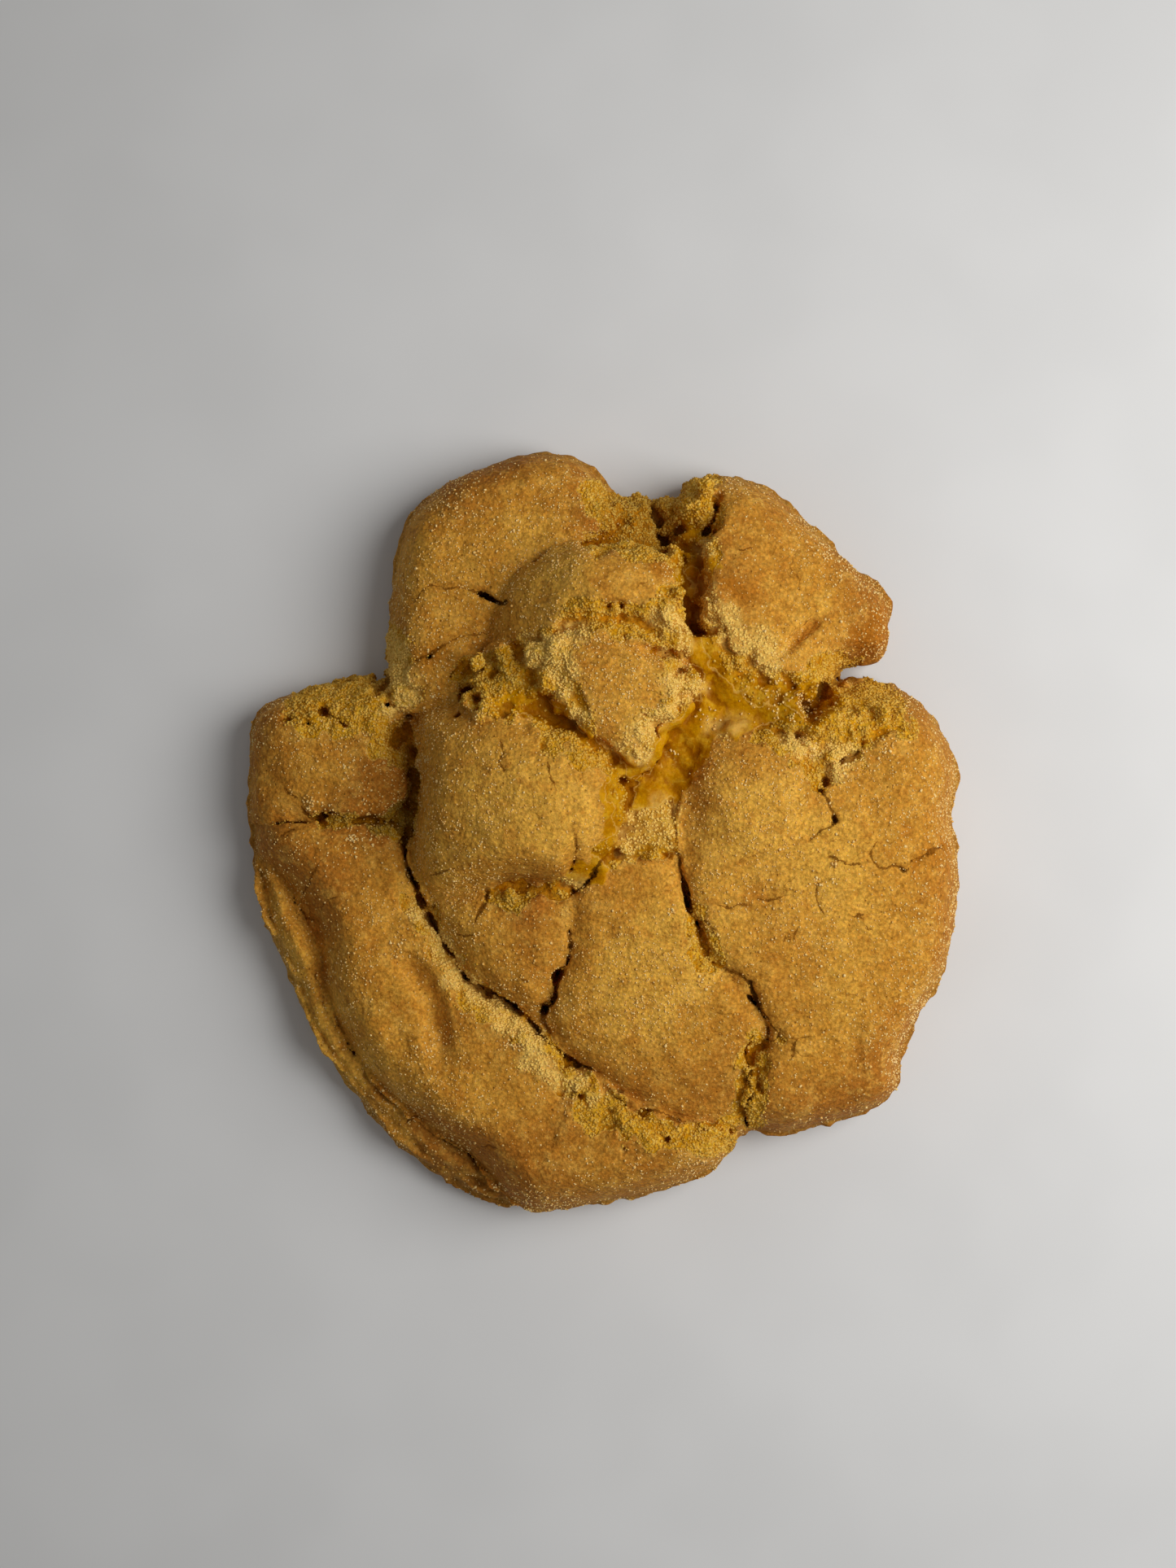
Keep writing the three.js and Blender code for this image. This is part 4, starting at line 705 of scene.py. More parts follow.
# ---------------------------------------------------------------- relief of the crust and of the torn crumb
depth_below = crust_top[:, :, None] - Z3
inside_rim = smooth((-rim - 0.6) / 1.6)[:, :, None]
rough = np.maximum(smooth((depth_below - 0.5) / 1.2) * inside_rim, np.maximum(torn, 0.8 * moist)[:, :, None])
band = np.flatnonzero(np.abs(field).ravel() < 1.6)
ix, iy, iz = np.unravel_index(band, field.shape)
bx, by, bz = XS[ix].astype(np.float32), YS[iy].astype(np.float32), ZS[iz].astype(np.float32)
much = rough.ravel()[band].astype(np.float32)
lumps = np.zeros(len(band), np.float32)
torn_here = np.flatnonzero(much > 0.03)
tx, ty, tz = bx[torn_here], by[torn_here], bz[torn_here]
big = 0.55 - cells(tx, ty, tz, BIG_CRUMB, 91)
small = 0.5 - cells(tx, ty, tz, SMALL_CRUMB, 92)
lumps[torn_here] = 0.52 * big + 0.54 * small
wet = moist[ix, iy] * smooth((bz - crust_top[ix, iy] + 3) / 2)
side = 1 - smooth((-rim[ix, iy] - 0.5) / 2)
values = field.ravel()[band]
values -= much * (1 - 0.4 * wet) * lumps
values += CRUST * torn[ix, iy] * smooth((bz - crust_top[ix, iy] + 2.5) / 1.5) * (1 - 0.5 * wet)
values -= (0.3 * much + 0.03) * noise3(3.4, 93).ravel()[band]
values -= (0.16 * much * (1 - 0.5 * wet) + 0.06 + 0.02 * side) * noise3(1.3, 94).ravel()[band]
values -= (0.05 + 0.04 * side) * (1 - 0.6 * wet) * noise3(0.7, 95).ravel()[band]
field.ravel()[band] = values
np.maximum(field, -Z3, out=field)


# ---------------------------------------------------------------- the mesh of the dough
def surface(f):
    """Vertices and quads of the surface where f crosses zero, solid where f is below it."""
    s = f < 0
    corners = [(i, j, k) for i in (0, 1) for j in (0, 1) for k in (0, 1)]
    n = tuple(m - 1 for m in f.shape)
    total = sum(s[i:i + n[0], j:j + n[1], k:k + n[2]].astype(np.int8) for i, j, k in corners)
    cell = np.flatnonzero(((total > 0) & (total < 8)).ravel())
    cx, cy, cz = np.unravel_index(cell, n)
    value = {c: f[cx + c[0], cy + c[1], cz + c[2]] for c in corners}
    sum_p, hits = np.zeros((len(cell), 3)), np.zeros(len(cell))
    for a in corners:
        for axis in range(3):
            if a[axis] == 0:
                b = tuple(v + (k == axis) for k, v in enumerate(a))
                fa, fb = value[a], value[b]
                cross = (fa < 0) != (fb < 0)
                t = np.where(cross, fa / np.where(cross, fa - fb, 1), 0)
                p = np.tile(np.array(a, float), (len(cell), 1))
                p[:, axis] += t
                sum_p += p * cross[:, None]
                hits += cross
    points = np.stack([cx, cy, cz], axis=1) + sum_p / hits[:, None]
    points = points * PITCH + np.array([XS[0], YS[0], ZS[0]])
    index = np.full(n, -1, np.int64)
    index.ravel()[cell] = np.arange(len(cell))
    quads = []
    for axis in range(3):
        lo = [slice(1, m) for m in n]
        lo[axis] = slice(0, n[axis])
        hi = list(lo)
        hi[axis] = slice(1, n[axis] + 1)
        a, b = s[tuple(lo)], s[tuple(hi)]
        e = np.argwhere(a != b)
        solid = a[a != b]
        e = e + np.array([0 if k == axis else 1 for k in range(3)])
        u, v = (axis + 1) % 3, (axis + 2) % 3
        du, dv = np.eye(3, dtype=int)[u], np.eye(3, dtype=int)[v]
        ring = [index[tuple((e - p).T)] for p in (du + dv, dv, 0 * du, du)]
        quad = np.stack(ring, axis=1)
        quad[~solid] = quad[~solid][:, ::-1]
        quads.append(quad)
    return points, np.vstack(quads)


def mesh_object(name, points, faces):
    """An object in the scene, from points in millimetres and faces that all have as many corners."""
    data = bpy.data.meshes.new(name)
    data.vertices.add(len(points))
    data.vertices.foreach_set("co", (points * 0.001).astype(np.float32).ravel())
    data.loops.add(faces.size)
    data.loops.foreach_set("vertex_index", faces.ravel().astype(np.int32))
    data.polygons.add(len(faces))
    data.polygons.foreach_set("loop_start", np.arange(0, faces.size, faces.shape[1], dtype=np.int32))
    data.update(calc_edges=True)
    obj = bpy.data.objects.new(name, data)
    bpy.context.scene.collection.objects.link(obj)
    return obj


def apply(obj):
    """Replaces the object's mesh by the one its modifiers make, and takes them off."""
    graph = bpy.context.evaluated_depsgraph_get()
    made = bpy.data.meshes.new_from_object(obj.evaluated_get(graph))
    old, obj.data = obj.data, made
    obj.modifiers.clear()
    bpy.data.meshes.remove(old)


def loose_parts(bm):
    """The vertices of every connected part but the largest."""
    seen, loose, largest = set(), [], []
    for start in bm.verts:
        if start in seen:
            continue
        stack, part = [start], []
        seen.add(start)
        while stack:
            vertex = stack.pop()
            part.append(vertex)
            for edge in vertex.link_edges:
                other = edge.other_vert(vertex)
                if other not in seen:
                    seen.add(other)
                    stack.append(other)
        if len(part) > len(largest):
            loose, largest = loose + largest, part
        else:
            loose += part
    return loose


def shade_smooth(data):
    data.polygons.foreach_set("use_smooth", np.ones(len(data.polygons), bool))


dough = mesh_object("cookie_dough", *surface(field))
dough.data.validate()
bm = bmesh.new()
bm.from_mesh(dough.data)
bmesh.ops.delete(bm, geom=loose_parts(bm), context="VERTS")
bm.to_mesh(dough.data)
bm.free()
triangles = sum(len(p.vertices) - 2 for p in dough.data.polygons)
print("dough before thinning:", triangles)
if triangles > FACES:
    thin = dough.modifiers.new("thin", "DECIMATE")
    thin.ratio = FACES / triangles
    apply(dough)
mesh = dough.data
mesh.name = "cookie_dough"
shade_smooth(mesh)
print("dough:", len(mesh.polygons))


# ---------------------------------------------------------------- masks on the mesh
def sample(plan, px, py):
    """The value of a plan map at each point."""
    u, v = (px - XS[0]) / PITCH, (py - YS[0]) / PITCH
    i, j = np.clip(u.astype(int), 0, len(XS) - 2), np.clip(v.astype(int), 0, len(YS) - 2)
    a, b = np.clip(u - i, 0, 1), np.clip(v - j, 0, 1)
    return ((1 - a) * (1 - b) * plan[i, j] + a * (1 - b) * plan[i + 1, j]
            + (1 - a) * b * plan[i, j + 1] + a * b * plan[i + 1, j + 1])


def box_blur(f, radius):
    """Mean over a cube, by running sums."""
    for axis in range(3):
        pad = [(0, 0)] * 3
        pad[axis] = (radius + 1, radius)
        c = np.cumsum(np.pad(f, pad, mode="edge"), axis=axis, dtype=np.float32)
        hi = [slice(None)] * 3
        lo = [slice(None)] * 3
        hi[axis], lo[axis] = slice(2 * radius + 1, None), slice(0, -2 * radius - 1)
        f = (c[tuple(hi)] - c[tuple(lo)]) / (2 * radius + 1)
    return f


def coordinates(data):
    """The vertices of a mesh, in millimetres."""
    co = np.empty(len(data.vertices) * 3, np.float32)
    data.vertices.foreach_get("co", co)
    return co.reshape(-1, 3) * 1000


def add_attribute(data, name, values):
    data.attributes.new(name, "FLOAT", "POINT").data.foreach_set("value", np.asarray(values, np.float32))


co = coordinates(mesh)
vx, vy, vz = co.T
filled = np.clip(0.5 - field / PITCH, 0, 1)
wide = box_blur(box_blur(filled, CAVITY_REACH), CAVITY_REACH)
gi = tuple(np.clip(((co - np.array([XS[0], YS[0], ZS[0]])) / PITCH + 0.5).astype(int), 0,
                   np.array(field.shape) - 1).T)
# how enclosed each point is: used for painted shade in hollows, and to keep crumbs out of them
cavity = wide[gi]
under = sample(crust_top, vx, vy) - vz
inner = smooth((-sample(rim, vx, vy) - 0.9) / 1.4)
masks = {
    "torn": np.maximum(smooth((under - 0.45) / 0.9) * inner, sample(torn, vx, vy)),
    "moist": sample(moist, vx, vy) * smooth((vz - 6) / 4),
    "pale": sample(pale, vx, vy),
    "toast": sample(toast, vx, vy),
    "cavity": np.clip((cavity - 0.5) * 4, -1, 1),
    "low": smooth((9.5 - vz) / 6),
    "crack_line": sample(crack_line, vx, vy),
    "crack_width": sample(crack_width, vx, vy) * smooth(1.5 - np.abs(under) / 2),
    "rim": smooth(1 + sample(rim, vx, vy) / 13),
    "browned_and_shaded": sample(browned_and_shaded, vx, vy),
}
for name, values in masks.items():
    add_attribute(mesh, name, values)


# ---------------------------------------------------------------- materials
def srgb(r, g, b):
    """A colour given as it shows on a screen, 0 to 255."""
    linear = (v / 255 / 12.92 if v <= 10.3 else ((v / 255 + 0.055) / 1.055) ** 2.4 for v in (r, g, b))
    return tuple(linear) + (1,)


class Nodes:
    """Short names for building a node tree."""

    def __init__(self, name):
        self.material = bpy.data.materials.new(name)
        self.material.use_nodes = True
        self.tree = self.material.node_tree
        self.tree.nodes.clear()
        self.place = self.new("ShaderNodeTexCoord", {}).outputs["Object"]

    def new(self, kind, inputs, **settings):
        """A node with its settings, and each input linked to a socket or set to a value."""
        node = self.tree.nodes.new(kind)
        for key, value in settings.items():
            setattr(node, key, value)
        for key, value in inputs.items():
            if isinstance(value, bpy.types.NodeSocket):
                self.tree.links.new(value, node.inputs[key])
            else:
                node.inputs[key].default_value = value
        return node

    def attribute(self, name):
        return self.new("ShaderNodeAttribute", {}, attribute_name=name).outputs["Fac"]

    def noise(self, size_mm, detail=2, rough=0.5, warp=0.0, offset=0.0):
        at = self.new("ShaderNodeVectorMath", {0: self.place, 1: (offset, offset * 0.7, offset * 1.3)},
                      operation="ADD").outputs[0]
        return self.new("ShaderNodeTexNoise", {"Vector": at, "Scale": 1000 / size_mm, "Detail": detail,
                                               "Roughness": rough, "Distortion": warp}).outputs["Fac"]

    def grains(self, size_mm):
        node = self.new("ShaderNodeTexVoronoi", {"Vector": self.place, "Scale": 1000 / size_mm})
        return node.outputs["Distance"]

    def ramp(self, value, low, high, out_low=0.0, out_high=1.0):
        return self.new("ShaderNodeMapRange", {"Value": value, "From Min": low, "From Max": high,
                                               "To Min": out_low, "To Max": out_high},
                        interpolation_type="SMOOTHSTEP").outputs[0]

    def math(self, operation, a, b=0.0, c=0.0):
        return self.new("ShaderNodeMath", {0: a, 1: b, 2: c}, operation=operation).outputs[0]

    def times(self, a, b):
        return self.math("MULTIPLY", a, b)

    def times_add(self, a, b, c):
        return self.math("MULTIPLY_ADD", a, b, c)

    def mix(self, factor, a, b):
        node = self.new("ShaderNodeMix", {0: factor, 6: a, 7: b}, data_type="RGBA", clamp_factor=True)
        return node.outputs[2]

    def stain(self, colour, value, low, high, amount, r, g, b):
        """The colour, with another laid over it as the value goes from low to high."""
        return self.mix(self.ramp(value, low, high, 0, amount), colour, srgb(r, g, b))

    def scale(self, colour, factor):
        return self.new("ShaderNodeVectorMath", {0: colour, "Scale": factor}, operation="SCALE").outputs[0]

    def bump(self, height, strength, distance):
        node = self.new("ShaderNodeBump", {"Height": height, "Strength": strength, "Distance": distance})
        return node.outputs[0]

    def cover(self, data, inputs):
        """Ends the material in a shader with these inputs and puts it on the mesh."""
        shader = self.new("ShaderNodeBsdfPrincipled", inputs)
        self.new("ShaderNodeOutputMaterial", {"Surface": shader.outputs[0]})
        data.materials.append(self.material)


# names that end in _a are masks of the mesh, and names that end in _m are masks worked out here
m = Nodes("baked_dough")
torn_a, moist_a, pale_a, toast_a, hollow_shade_a, low_a, rim_a, brown_and_shade_a = (
    m.attribute(k) for k in ("torn", "moist", "pale", "toast", "cavity", "low", "rim", "browned_and_shaded"))
line_a, width_a = m.attribute("crack_line"), m.attribute("crack_width")

# crust: sandy yellow brown, mottled at several sizes, browner at the rim, darker or paler in spots that are
# partly painted shade and painted light, with fine grain, crackle and pores
patch, blotch = m.noise(6, 3, 0.6, 0.4, 3.1), m.noise(3, 3, 0.65, 0, 13)
speck, grain = m.noise(1.2, 3, 0.65, 0.0, 7.7), m.noise(0.46, 2, 0.7, 0.0, 1.7)
sand = m.grains(0.6)
# the browning spots in this sum are partly painted shade and painted light
baked_and_shaded = m.times_add(rim_a, 0.34, m.math("ADD", brown_and_shade_a, m.times_add(patch, 0.7, -0.08)))
crust = m.mix(m.ramp(baked_and_shaded, -0.1, 0.3), srgb(232, 174, 68), srgb(210, 147, 52))
crust = m.stain(crust, baked_and_shaded, 0.3, 0.85, 1, 178, 112, 38)
crust = m.stain(crust, blotch, 0.5, 0.7, 0.55, 192, 120, 38)
crust = m.stain(crust, blotch, 0.5, 0.34, 0.35, 240, 184, 82)
crust = m.stain(crust, speck, 0.52, 0.7, 0.4, 242, 187, 86)
crust = m.stain(crust, speck, 0.48, 0.3, 0.4, 160, 95, 22)
warp = m.new("ShaderNodeTexNoise", {"Vector": m.place, "Scale": 700, "Detail": 2}).outputs["Color"]
bent = m.new("ShaderNodeVectorMath", {0: warp, 1: (0.0016, 0.0016, 0.0016), 2: m.place},
             operation="MULTIPLY_ADD").outputs[0]
crackle = m.new("ShaderNodeTexVoronoi", {"Vector": bent, "Scale": 330},
                feature="DISTANCE_TO_EDGE").outputs["Distance"]
crackle = m.times(m.ramp(crackle, 0.045, 0.0), m.ramp(m.noise(5, 2, 0.6, 0, 21), 0.5, 0.62))
crackle = m.times(crackle, m.ramp(m.noise(1.6, 2, 0.5, 0, 23), 0.42, 0.56))
pores = m.times(m.ramp(m.grains(1.1), 0.17, 0.07), m.ramp(m.noise(3, 1), 0.48, 0.6))
# the crackle and pores are drawn darker, as painted shade in these small cracks and pits
crust = m.mix(m.times(m.math("MAXIMUM", pores, crackle), 0.6), crust, srgb(132, 76, 10))

# torn crumb: yellower and deeper in colour, with painted shade in its hollows
crumb = m.mix(m.ramp(m.noise(2.2, 3, 0.6, 0.3, 5), 0.36, 0.66), srgb(210, 144, 14), srgb(230, 171, 42))
crumb = m.stain(crumb, m.noise(0.8, 2, 0.6, 0, 9), 0.48, 0.72, 0.55, 236, 196, 84)
crumb = m.stain(crumb, hollow_shade_a, 0.05, 0.6, 0.8, 188, 116, 8)

# moist middle: amber, glossy
sticky = m.mix(m.ramp(m.noise(3, 3, 0.6, 0.8, 11), 0.4, 0.66), srgb(180, 116, 0), srgb(208, 146, 4))
sticky = m.stain(sticky, m.noise(1, 2, 0.6, 1.2, 17), 0.55, 0.75, 0.4, 224, 170, 20)
sticky = m.stain(sticky, m.noise(2.1, 3, 0.7, 0.4, 19), 0.5, 0.66, 0.6, 218, 168, 40)
# painted shade in the hollows of the moist middle
sticky = m.stain(sticky, hollow_shade_a, 0.0, 0.55, 0.85, 146, 80, 0)

# both are duller where the dough is browner or painted shade lies on it
crumb = m.scale(crumb, m.ramp(brown_and_shade_a, 0.1, 1.1, 1.0, 0.62))
sticky = m.scale(sticky, m.ramp(brown_and_shade_a, 0.1, 1.1, 1.0, 0.7))

# zones meet along ragged edges, with a pale line where the crust is broken
fray = m.times_add(m.noise(0.7, 2, 0.7, 0, 51), 0.9, -0.45)
torn_m = m.ramp(m.math("ADD", torn_a, fray), 0.4, 0.6)
moist_m = m.ramp(m.math("ADD", moist_a, fray), 0.3, 0.7)
off_lip = m.math("ABSOLUTE", m.math("SUBTRACT", m.math("ADD", torn_a, fray), 0.36))
lip = m.times(m.ramp(off_lip, 0.22, 0.04), m.ramp(torn_a, 0.0, 0.15))
colour = m.mix(torn_m, crust, crumb)
colour = m.mix(moist_m, colour, sticky)
colour = m.mix(m.times(lip, 0.5), colour, srgb(228, 182, 88))
pale_m = m.times(pale_a, m.times_add(moist_m, -0.45, 1.0))
pale_m = m.times(pale_m, m.ramp(m.noise(1.4, 2, 0.6, 0, 31), 0.4, 0.6, 0.35, 0.8))
colour = m.mix(pale_m, colour, srgb(240, 198, 102))
colour = m.mix(m.times(toast_a, 0.55), colour, srgb(174, 102, 14))
colour = m.mix(m.times(low_a, 0.6), colour, srgb(156, 112, 48))

# cracks: thin lines, partly the dough's own colour and partly painted shade in the crack, reddish where they
# are hair cracks and dark where they are open
stray = m.times_add(m.noise(0.9, 3, 0.8, 0, 61), 1.1, -0.55)
away = m.math("ABSOLUTE", m.math("ADD", line_a, stray))
half_width = m.times(width_a, m.ramp(m.noise(1.2, 2, 0.6, 0, 67), 0.35, 0.62, 0.14, 0.58))
line = m.ramp(away, m.math("ADD", half_width, 0.07), m.times(half_width, 0.5))
line = m.times(m.times(line, m.ramp(width_a, 0.04, 0.18)), m.ramp(width_a, 0.25, 0.8, 0.78, 0.88))
colour = m.mix(line, colour, m.mix(m.ramp(width_a, 0.35, 0.8), srgb(120, 66, 8), srgb(66, 32, 2)))

# fine grain in the colour, weaker where it is moist
fine = m.times(m.ramp(grain, 0.3, 0.7, 0.76, 1.22), m.ramp(sand, 0.1, 0.6, 1.1, 0.88))
fine = m.times_add(m.times_add(moist_m, -0.7, 1.0), m.math("SUBTRACT", fine, 1.0), 1.0)
colour = m.scale(colour, fine)

# relief too fine for the mesh
height = m.times_add(grain, 0.17, m.times(speck, 0.24))
for layer, amount in ((sand, -0.14), (m.noise(2.6, 2, 0.5, 0, 41), 0.25), (pores, -0.14),
                      (m.times(m.grains(0.7), torn_m), -0.28)):
    height = m.times_add(layer, amount, height)

gloss = m.times_add(m.ramp(speck, 0.4, 0.7), -0.08, m.times_add(moist_m, -0.4, 0.76))
mesh.materials.clear()
m.cover(mesh, {"Base Color": colour, "Roughness": gloss,
               "Normal": m.bump(height, m.times_add(moist_m, -0.35, 0.8), 0.001),
               "IOR": 1.45, "Specular IOR Level": 0.2, "Specular Tint": srgb(255, 205, 100),
               "Subsurface Weight": 0.2, "Subsurface Scale": 0.0014, "Subsurface Radius": (1.0, 0.5, 0.12)})

# ---------------------------------------------------------------- sugar grains and loose crumbs
GLINTS = [  # clusters of coarse sugar: x, y, spread, how many
    (38.2, 12, 0.7, 22), (27.8, 11.2, 0.9, 16), (31.7, 8.8, 0.6, 12), (35, 10, 0.8, 10),
    (28.6, -5.7, 0.5, 14), (30.9, -4.1, 0.4, 10), (33.2, -0.6, 0.3, 4), (45.4, 12.6, 0.8, 10),
    (46.2, -4, 1.2, 16), (45, -23, 1.6, 18), (28.9, -25.8, 0.5, 10), (26.6, -34.3, 0.4, 6),
    (13, -19.4, 0.3, 5), (8.2, -27.7, 0.4, 8), (9, -9.6, 0.5, 8), (-26, 9.8, 0.5, 14), (-24.4, 10, 0.4, 8),
    (-35, 8.6, 0.6, 8), (-40.4, 5.4, 0.7, 12), (-40.4, 3.9, 0.5, 8), (-35, -0.6, 0.5, 10),
    (-34, -1.6, 1.6, 24), (-28.4, -15.4, 0.7, 10), (-25, -29, 0.9, 16), (-11.6, -28.4, 0.6, 10),
    (-13.4, -28.4, 0.4, 6), (-37.4, -19.4, 0.6, 8), (-41.6, -21.4, 0.6, 8), (-15, -49.4, 0.6, 8),
    (-8.6, -35, 0.4, 5), (23.8, 20.8, 0.4, 8), (26.4, 18.4, 0.7, 12), (28, 17.2, 0.9, 14),
    (20.6, 23.1, 0.3, 6), (32.6, 36.6, 1.6, 16), (30.4, 38.8, 1.2, 12), (36, 34.6, 1.4, 14),
    (-0.2, 41.6, 0.5, 10), (0, 43.8, 0.3, 4), (-17.6, 39, 0.6, 8), (13.4, 15.6, 0.9, 16),
    (11.6, 22.6, 0.9, 14), (41, -7, 2.5, 12), (9.6, 11.4, 0.4, 6), (-47.6, -6, 0.9, 16),
    (-46.4, -12, 0.9, 16), (-44.4, -18, 0.9, 14), (-38, -31, 0.9, 10), (-33, -38.4, 0.9, 10),
    (-30, -4, 3, 20), (-37, 12, 2.5, 14), (44, 6, 2.5, 20),
]


def face_table(data):
    """The vertices of a mesh in millimetres, its triangles, and their normals and areas."""
    data.calc_loop_triangles()
    t = np.empty(len(data.loop_triangles) * 3, np.int32)
    data.loop_triangles.foreach_get("vertices", t)
    t = t.reshape(-1, 3)
    p = coordinates(data)
    cross = np.cross(p[t[:, 1]] - p[t[:, 0]], p[t[:, 2]] - p[t[:, 0]])
    area = np.linalg.norm(cross, axis=1)
    return p, t, cross / np.maximum(area, 1e-9)[:, None], area / 2


def scatter(name, where, size, shape_points, shape_faces, seed, sink=0.25, squash=0.5):
    """One mesh of many small solids, each turned at random and sunk a little into the surface."""
    rng = np.random.default_rng(seed)
    centres, normals = where
    n = len(centres)
    q = rng.standard_normal((n, 4))
    q /= np.linalg.norm(q, axis=1)[:, None]
    w, x, y, z = q.T
    turn = np.stack([np.stack([1 - 2 * (y * y + z * z), 2 * (x * y - z * w), 2 * (x * z + y * w)], 1),
                     np.stack([2 * (x * y + z * w), 1 - 2 * (x * x + z * z), 2 * (y * z - x * w)], 1),
                     np.stack([2 * (x * z - y * w), 2 * (y * z + x * w), 1 - 2 * (x * x + y * y)], 1)], 1)
    scale = rng.uniform(*size, (n, 1)) * rng.uniform(squash, 1, (n, 3))
    base = np.asarray(shape_points, float)
    jitter = 1 + rng.uniform(-0.16, 0.16, (n, len(base), 3))
    pts = np.einsum("nij,nkj->nki", turn, base[None] * scale[:, None, :] * jitter)
    lift = scale.mean(axis=1, keepdims=True) * (1 - 2 * sink)
    pts += (centres + normals * lift)[:, None, :]
    k = len(base)
    tris = (np.asarray(shape_faces)[None] + (np.arange(n) * k)[:, None, None]).reshape(-1, 3)
    piece = mesh_object(name, pts.reshape(-1, 3), tris)
    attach(piece, "root")
    print(name, len(tris))
    return piece


def pick(weights, count, seed):
    """Random places on the dough, with their normals, chosen by area times weight."""
    rng = np.random.default_rng(seed)
    cumulative = np.cumsum(areas * weights)
    at = np.searchsorted(cumulative, rng.random(count) * cumulative[-1])
    u, v = rng.random((2, count, 1))
    flip = u + v > 1
    u, v = np.where(flip, 1 - u, u), np.where(flip, 1 - v, v)
    a, b, c = (verts[tris[at, k]] for k in range(3))
    return a + u * (b - a) + v * (c - a), normals[at]


BOX = [(-1, -1, -1), (1, -1, -1), (1, 1, -1), (-1, 1, -1), (-1, -1, 1), (1, -1, 1), (1, 1, 1), (-1, 1, 1)]
BOX_FACES = [(0, 2, 1), (0, 3, 2), (4, 5, 6), (4, 6, 7), (0, 1, 5), (0, 5, 4), (1, 2, 6), (1, 6, 5),
             (2, 3, 7), (2, 7, 6), (3, 0, 4), (3, 4, 7)]
GRAIN = [(1, 0, 0), (-1, 0, 0), (0, 1, 0), (0, -1, 0), (0, 0, 1), (0, 0, -1)]
GRAIN_FACES = [(0, 2, 4), (2, 1, 4), (1, 3, 4), (3, 0, 4), (2, 0, 5), (1, 2, 5), (3, 1, 5), (0, 3, 5)]

verts, tris, normals, areas = face_table(mesh)
centre = verts[tris].mean(axis=1)
east, north, height_mm = centre.T
at = {k: np.asarray(v)[tris].mean(axis=1) for k, v in masks.items()}
up = smooth((normals[:, 2] + 0.1) / 0.5)
above = smooth((height_mm - LOWEST_GRAIN) / 0.8)
patches = sample(smooth(0.5 + 0.5 * noise2(7, 80) + 0.3 * noise2(2, 81)), east, north)
crust_w = above * up * (1 - 0.8 * at["torn"]) * (1 - at["moist"]) * (0.2 + 0.8 * patches)
fine_sugar = scatter("sugar_fine", pick(crust_w, SUGAR_COUNT, 5), SUGAR_SIZE, BOX, BOX_FACES, 6, sink=0.5)
clusters = np.zeros(len(areas))
for x, y, spread_mm, number in GLINTS:
    spot = up * blob(east, north, x, y, 2 * spread_mm ** 2)
    clusters += number * spot / max((spot * areas).sum(), 1e-6)
in_clusters = sum(number for _, _, _, number in GLINTS)
wet_w = up * at["moist"] * blob(east, north, 24, 17, 18)
places = pick(clusters, in_clusters, 7), pick(crust_w, CRUST_COARSE, 8), pick(wet_w, WET_COARSE, 9)
coarse = [np.vstack(parts) for parts in zip(*places)]
coarse_sugar = scatter("sugar_coarse", coarse, COARSE_SIZE, BOX, BOX_FACES, 10, sink=0.35)
torn_w = above * (0.45 + up) * np.clip(at["torn"] + 0.6 * at["pale"] - 0.8 * at["moist"], 0, 1)
torn_w = torn_w * smooth(1.2 - 2 * at["cavity"])
crumbs = scatter("loose_crumbs", pick(torn_w, CRUMB_COUNT, 11), CRUMB_SIZE, GRAIN, GRAIN_FACES, 12,
                 sink=0.5, squash=0.6)

sugar_nodes = Nodes("sugar")
glint = sugar_nodes.ramp(sugar_nodes.noise(0.8, 1), 0.4, 0.6)
sugar_nodes.cover(fine_sugar.data, {
    "Base Color": sugar_nodes.mix(glint, srgb(252, 218, 144), srgb(236, 184, 96)), "Roughness": 0.2,
    "IOR": 1.5, "Specular IOR Level": 0.7, "Specular Tint": srgb(255, 222, 160)})
coarse_sugar.data.materials.append(sugar_nodes.material)

# the crumbs take their tone, with its painted shade and painted light, from the dough that they lie on
crumb_x, crumb_y, _ = coordinates(crumbs.data).T
for key, plan in (("pale", pale), ("browned_and_shaded", browned_and_shaded)):
    add_attribute(crumbs.data, key, sample(plan, crumb_x, crumb_y))
c = Nodes("crumb")
tone = c.mix(c.ramp(c.noise(0.7, 2, 0.6), 0.35, 0.65), srgb(206, 148, 28), srgb(234, 190, 82))
tone = c.stain(tone, c.attribute("pale"), 0.2, 0.8, 1, 246, 204, 104)
tone = c.scale(tone, c.ramp(c.attribute("browned_and_shaded"), 0.1, 1.1, 1.0, 0.6))
c.cover(crumbs.data, {"Base Color": tone, "Roughness": 0.8, "Normal": c.bump(c.noise(0.3, 2), 0.6, 0.0002),
                      "Specular IOR Level": 0.25})
shade_smooth(crumbs.data)

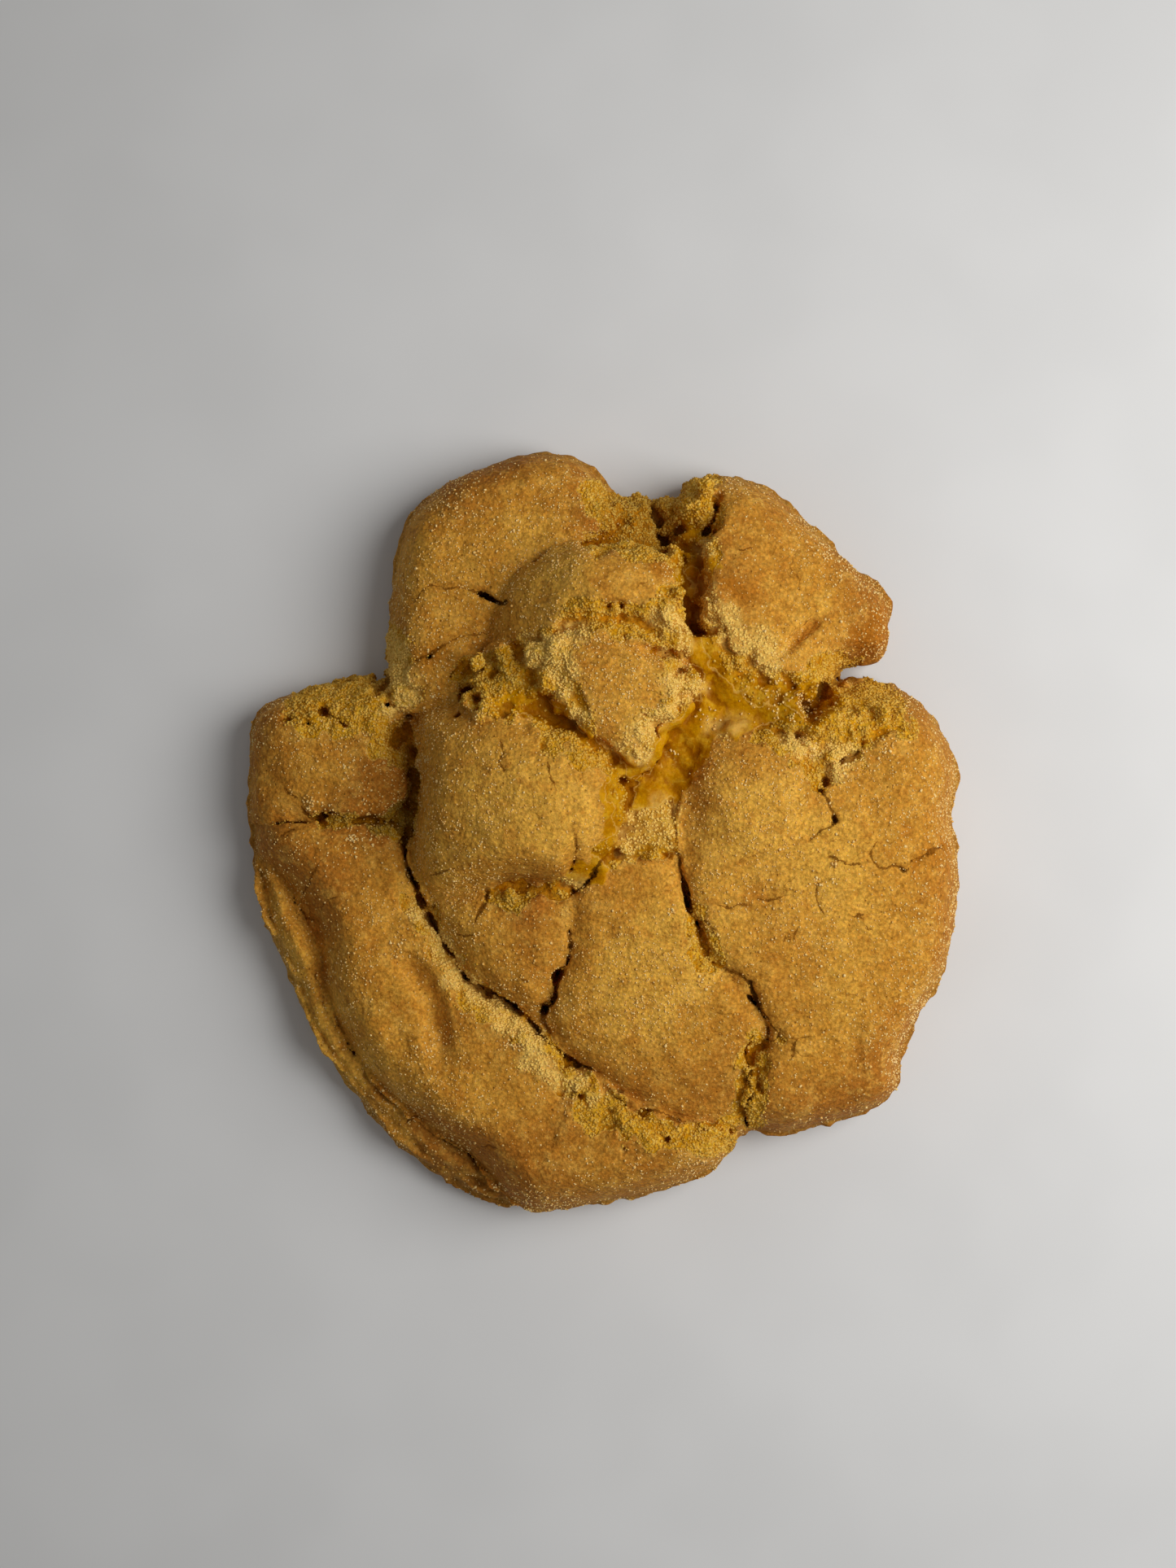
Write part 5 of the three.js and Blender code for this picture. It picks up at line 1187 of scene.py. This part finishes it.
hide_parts("cookie")
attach(dough, "root")

# ---------------------------------------------------------------- floor, light and camera, in metres
FLOOR_HALF = 3
LAMP_PLACE, LAMP_SIZE, LAMP_POWER, SKY_POWER = (0.22, 0.03, 0.24), 0.28, 0.89, 0.175
CAMERA_PLACE, LENS_MM, SENSOR_MM = (-0.00225, 0.0070, 0.260), 41.3, 36

corners = [(x * FLOOR_HALF, y * FLOOR_HALF, 0) for x, y in ((-1, -1), (1, -1), (1, 1), (-1, 1))]
floor_mesh = bpy.data.meshes.new("floor")
floor_mesh.from_pydata(corners, [], [(0, 1, 2, 3)])
floor = bpy.data.objects.new("floor", floor_mesh)
bpy.context.scene.collection.objects.link(floor)
floor_nodes = Nodes("pale_floor")
floor_tone = floor_nodes.ramp(floor_nodes.noise(30, 2), 0.3, 0.7)
floor_colour = floor_nodes.mix(floor_tone, srgb(226, 225, 223), srgb(231, 230, 228))
floor_nodes.cover(floor_mesh, {"Base Color": floor_colour, "Roughness": 0.8})

lamp_data = bpy.data.lights.new("window", "AREA")
lamp_data.shape, lamp_data.size, lamp_data.energy = "DISK", LAMP_SIZE, LAMP_POWER
lamp = bpy.data.objects.new("window", lamp_data)
lamp.location = LAMP_PLACE
lamp.rotation_euler = (-Vector(LAMP_PLACE)).to_track_quat("-Z", "Y").to_euler()
bpy.context.scene.collection.objects.link(lamp)
world = bpy.data.worlds.new("studio")
world.use_nodes = True
world.node_tree.nodes["Background"].inputs["Color"].default_value = (1, 1, 1, 1)
world.node_tree.nodes["Background"].inputs["Strength"].default_value = SKY_POWER
bpy.context.scene.world = world

camera_data = bpy.data.cameras.new("camera")
camera_data.sensor_width = SENSOR_MM
camera_data.lens = LENS_MM
camera_data.clip_start = 0.01
camera = bpy.data.objects.new("camera", camera_data)
camera.location = CAMERA_PLACE
camera.rotation_euler = (0, 0, 0)
bpy.context.scene.collection.objects.link(camera)
bpy.context.scene.camera = camera
bpy.context.scene.view_settings.view_transform = "Standard"
bpy.context.scene.view_settings.look = "None"
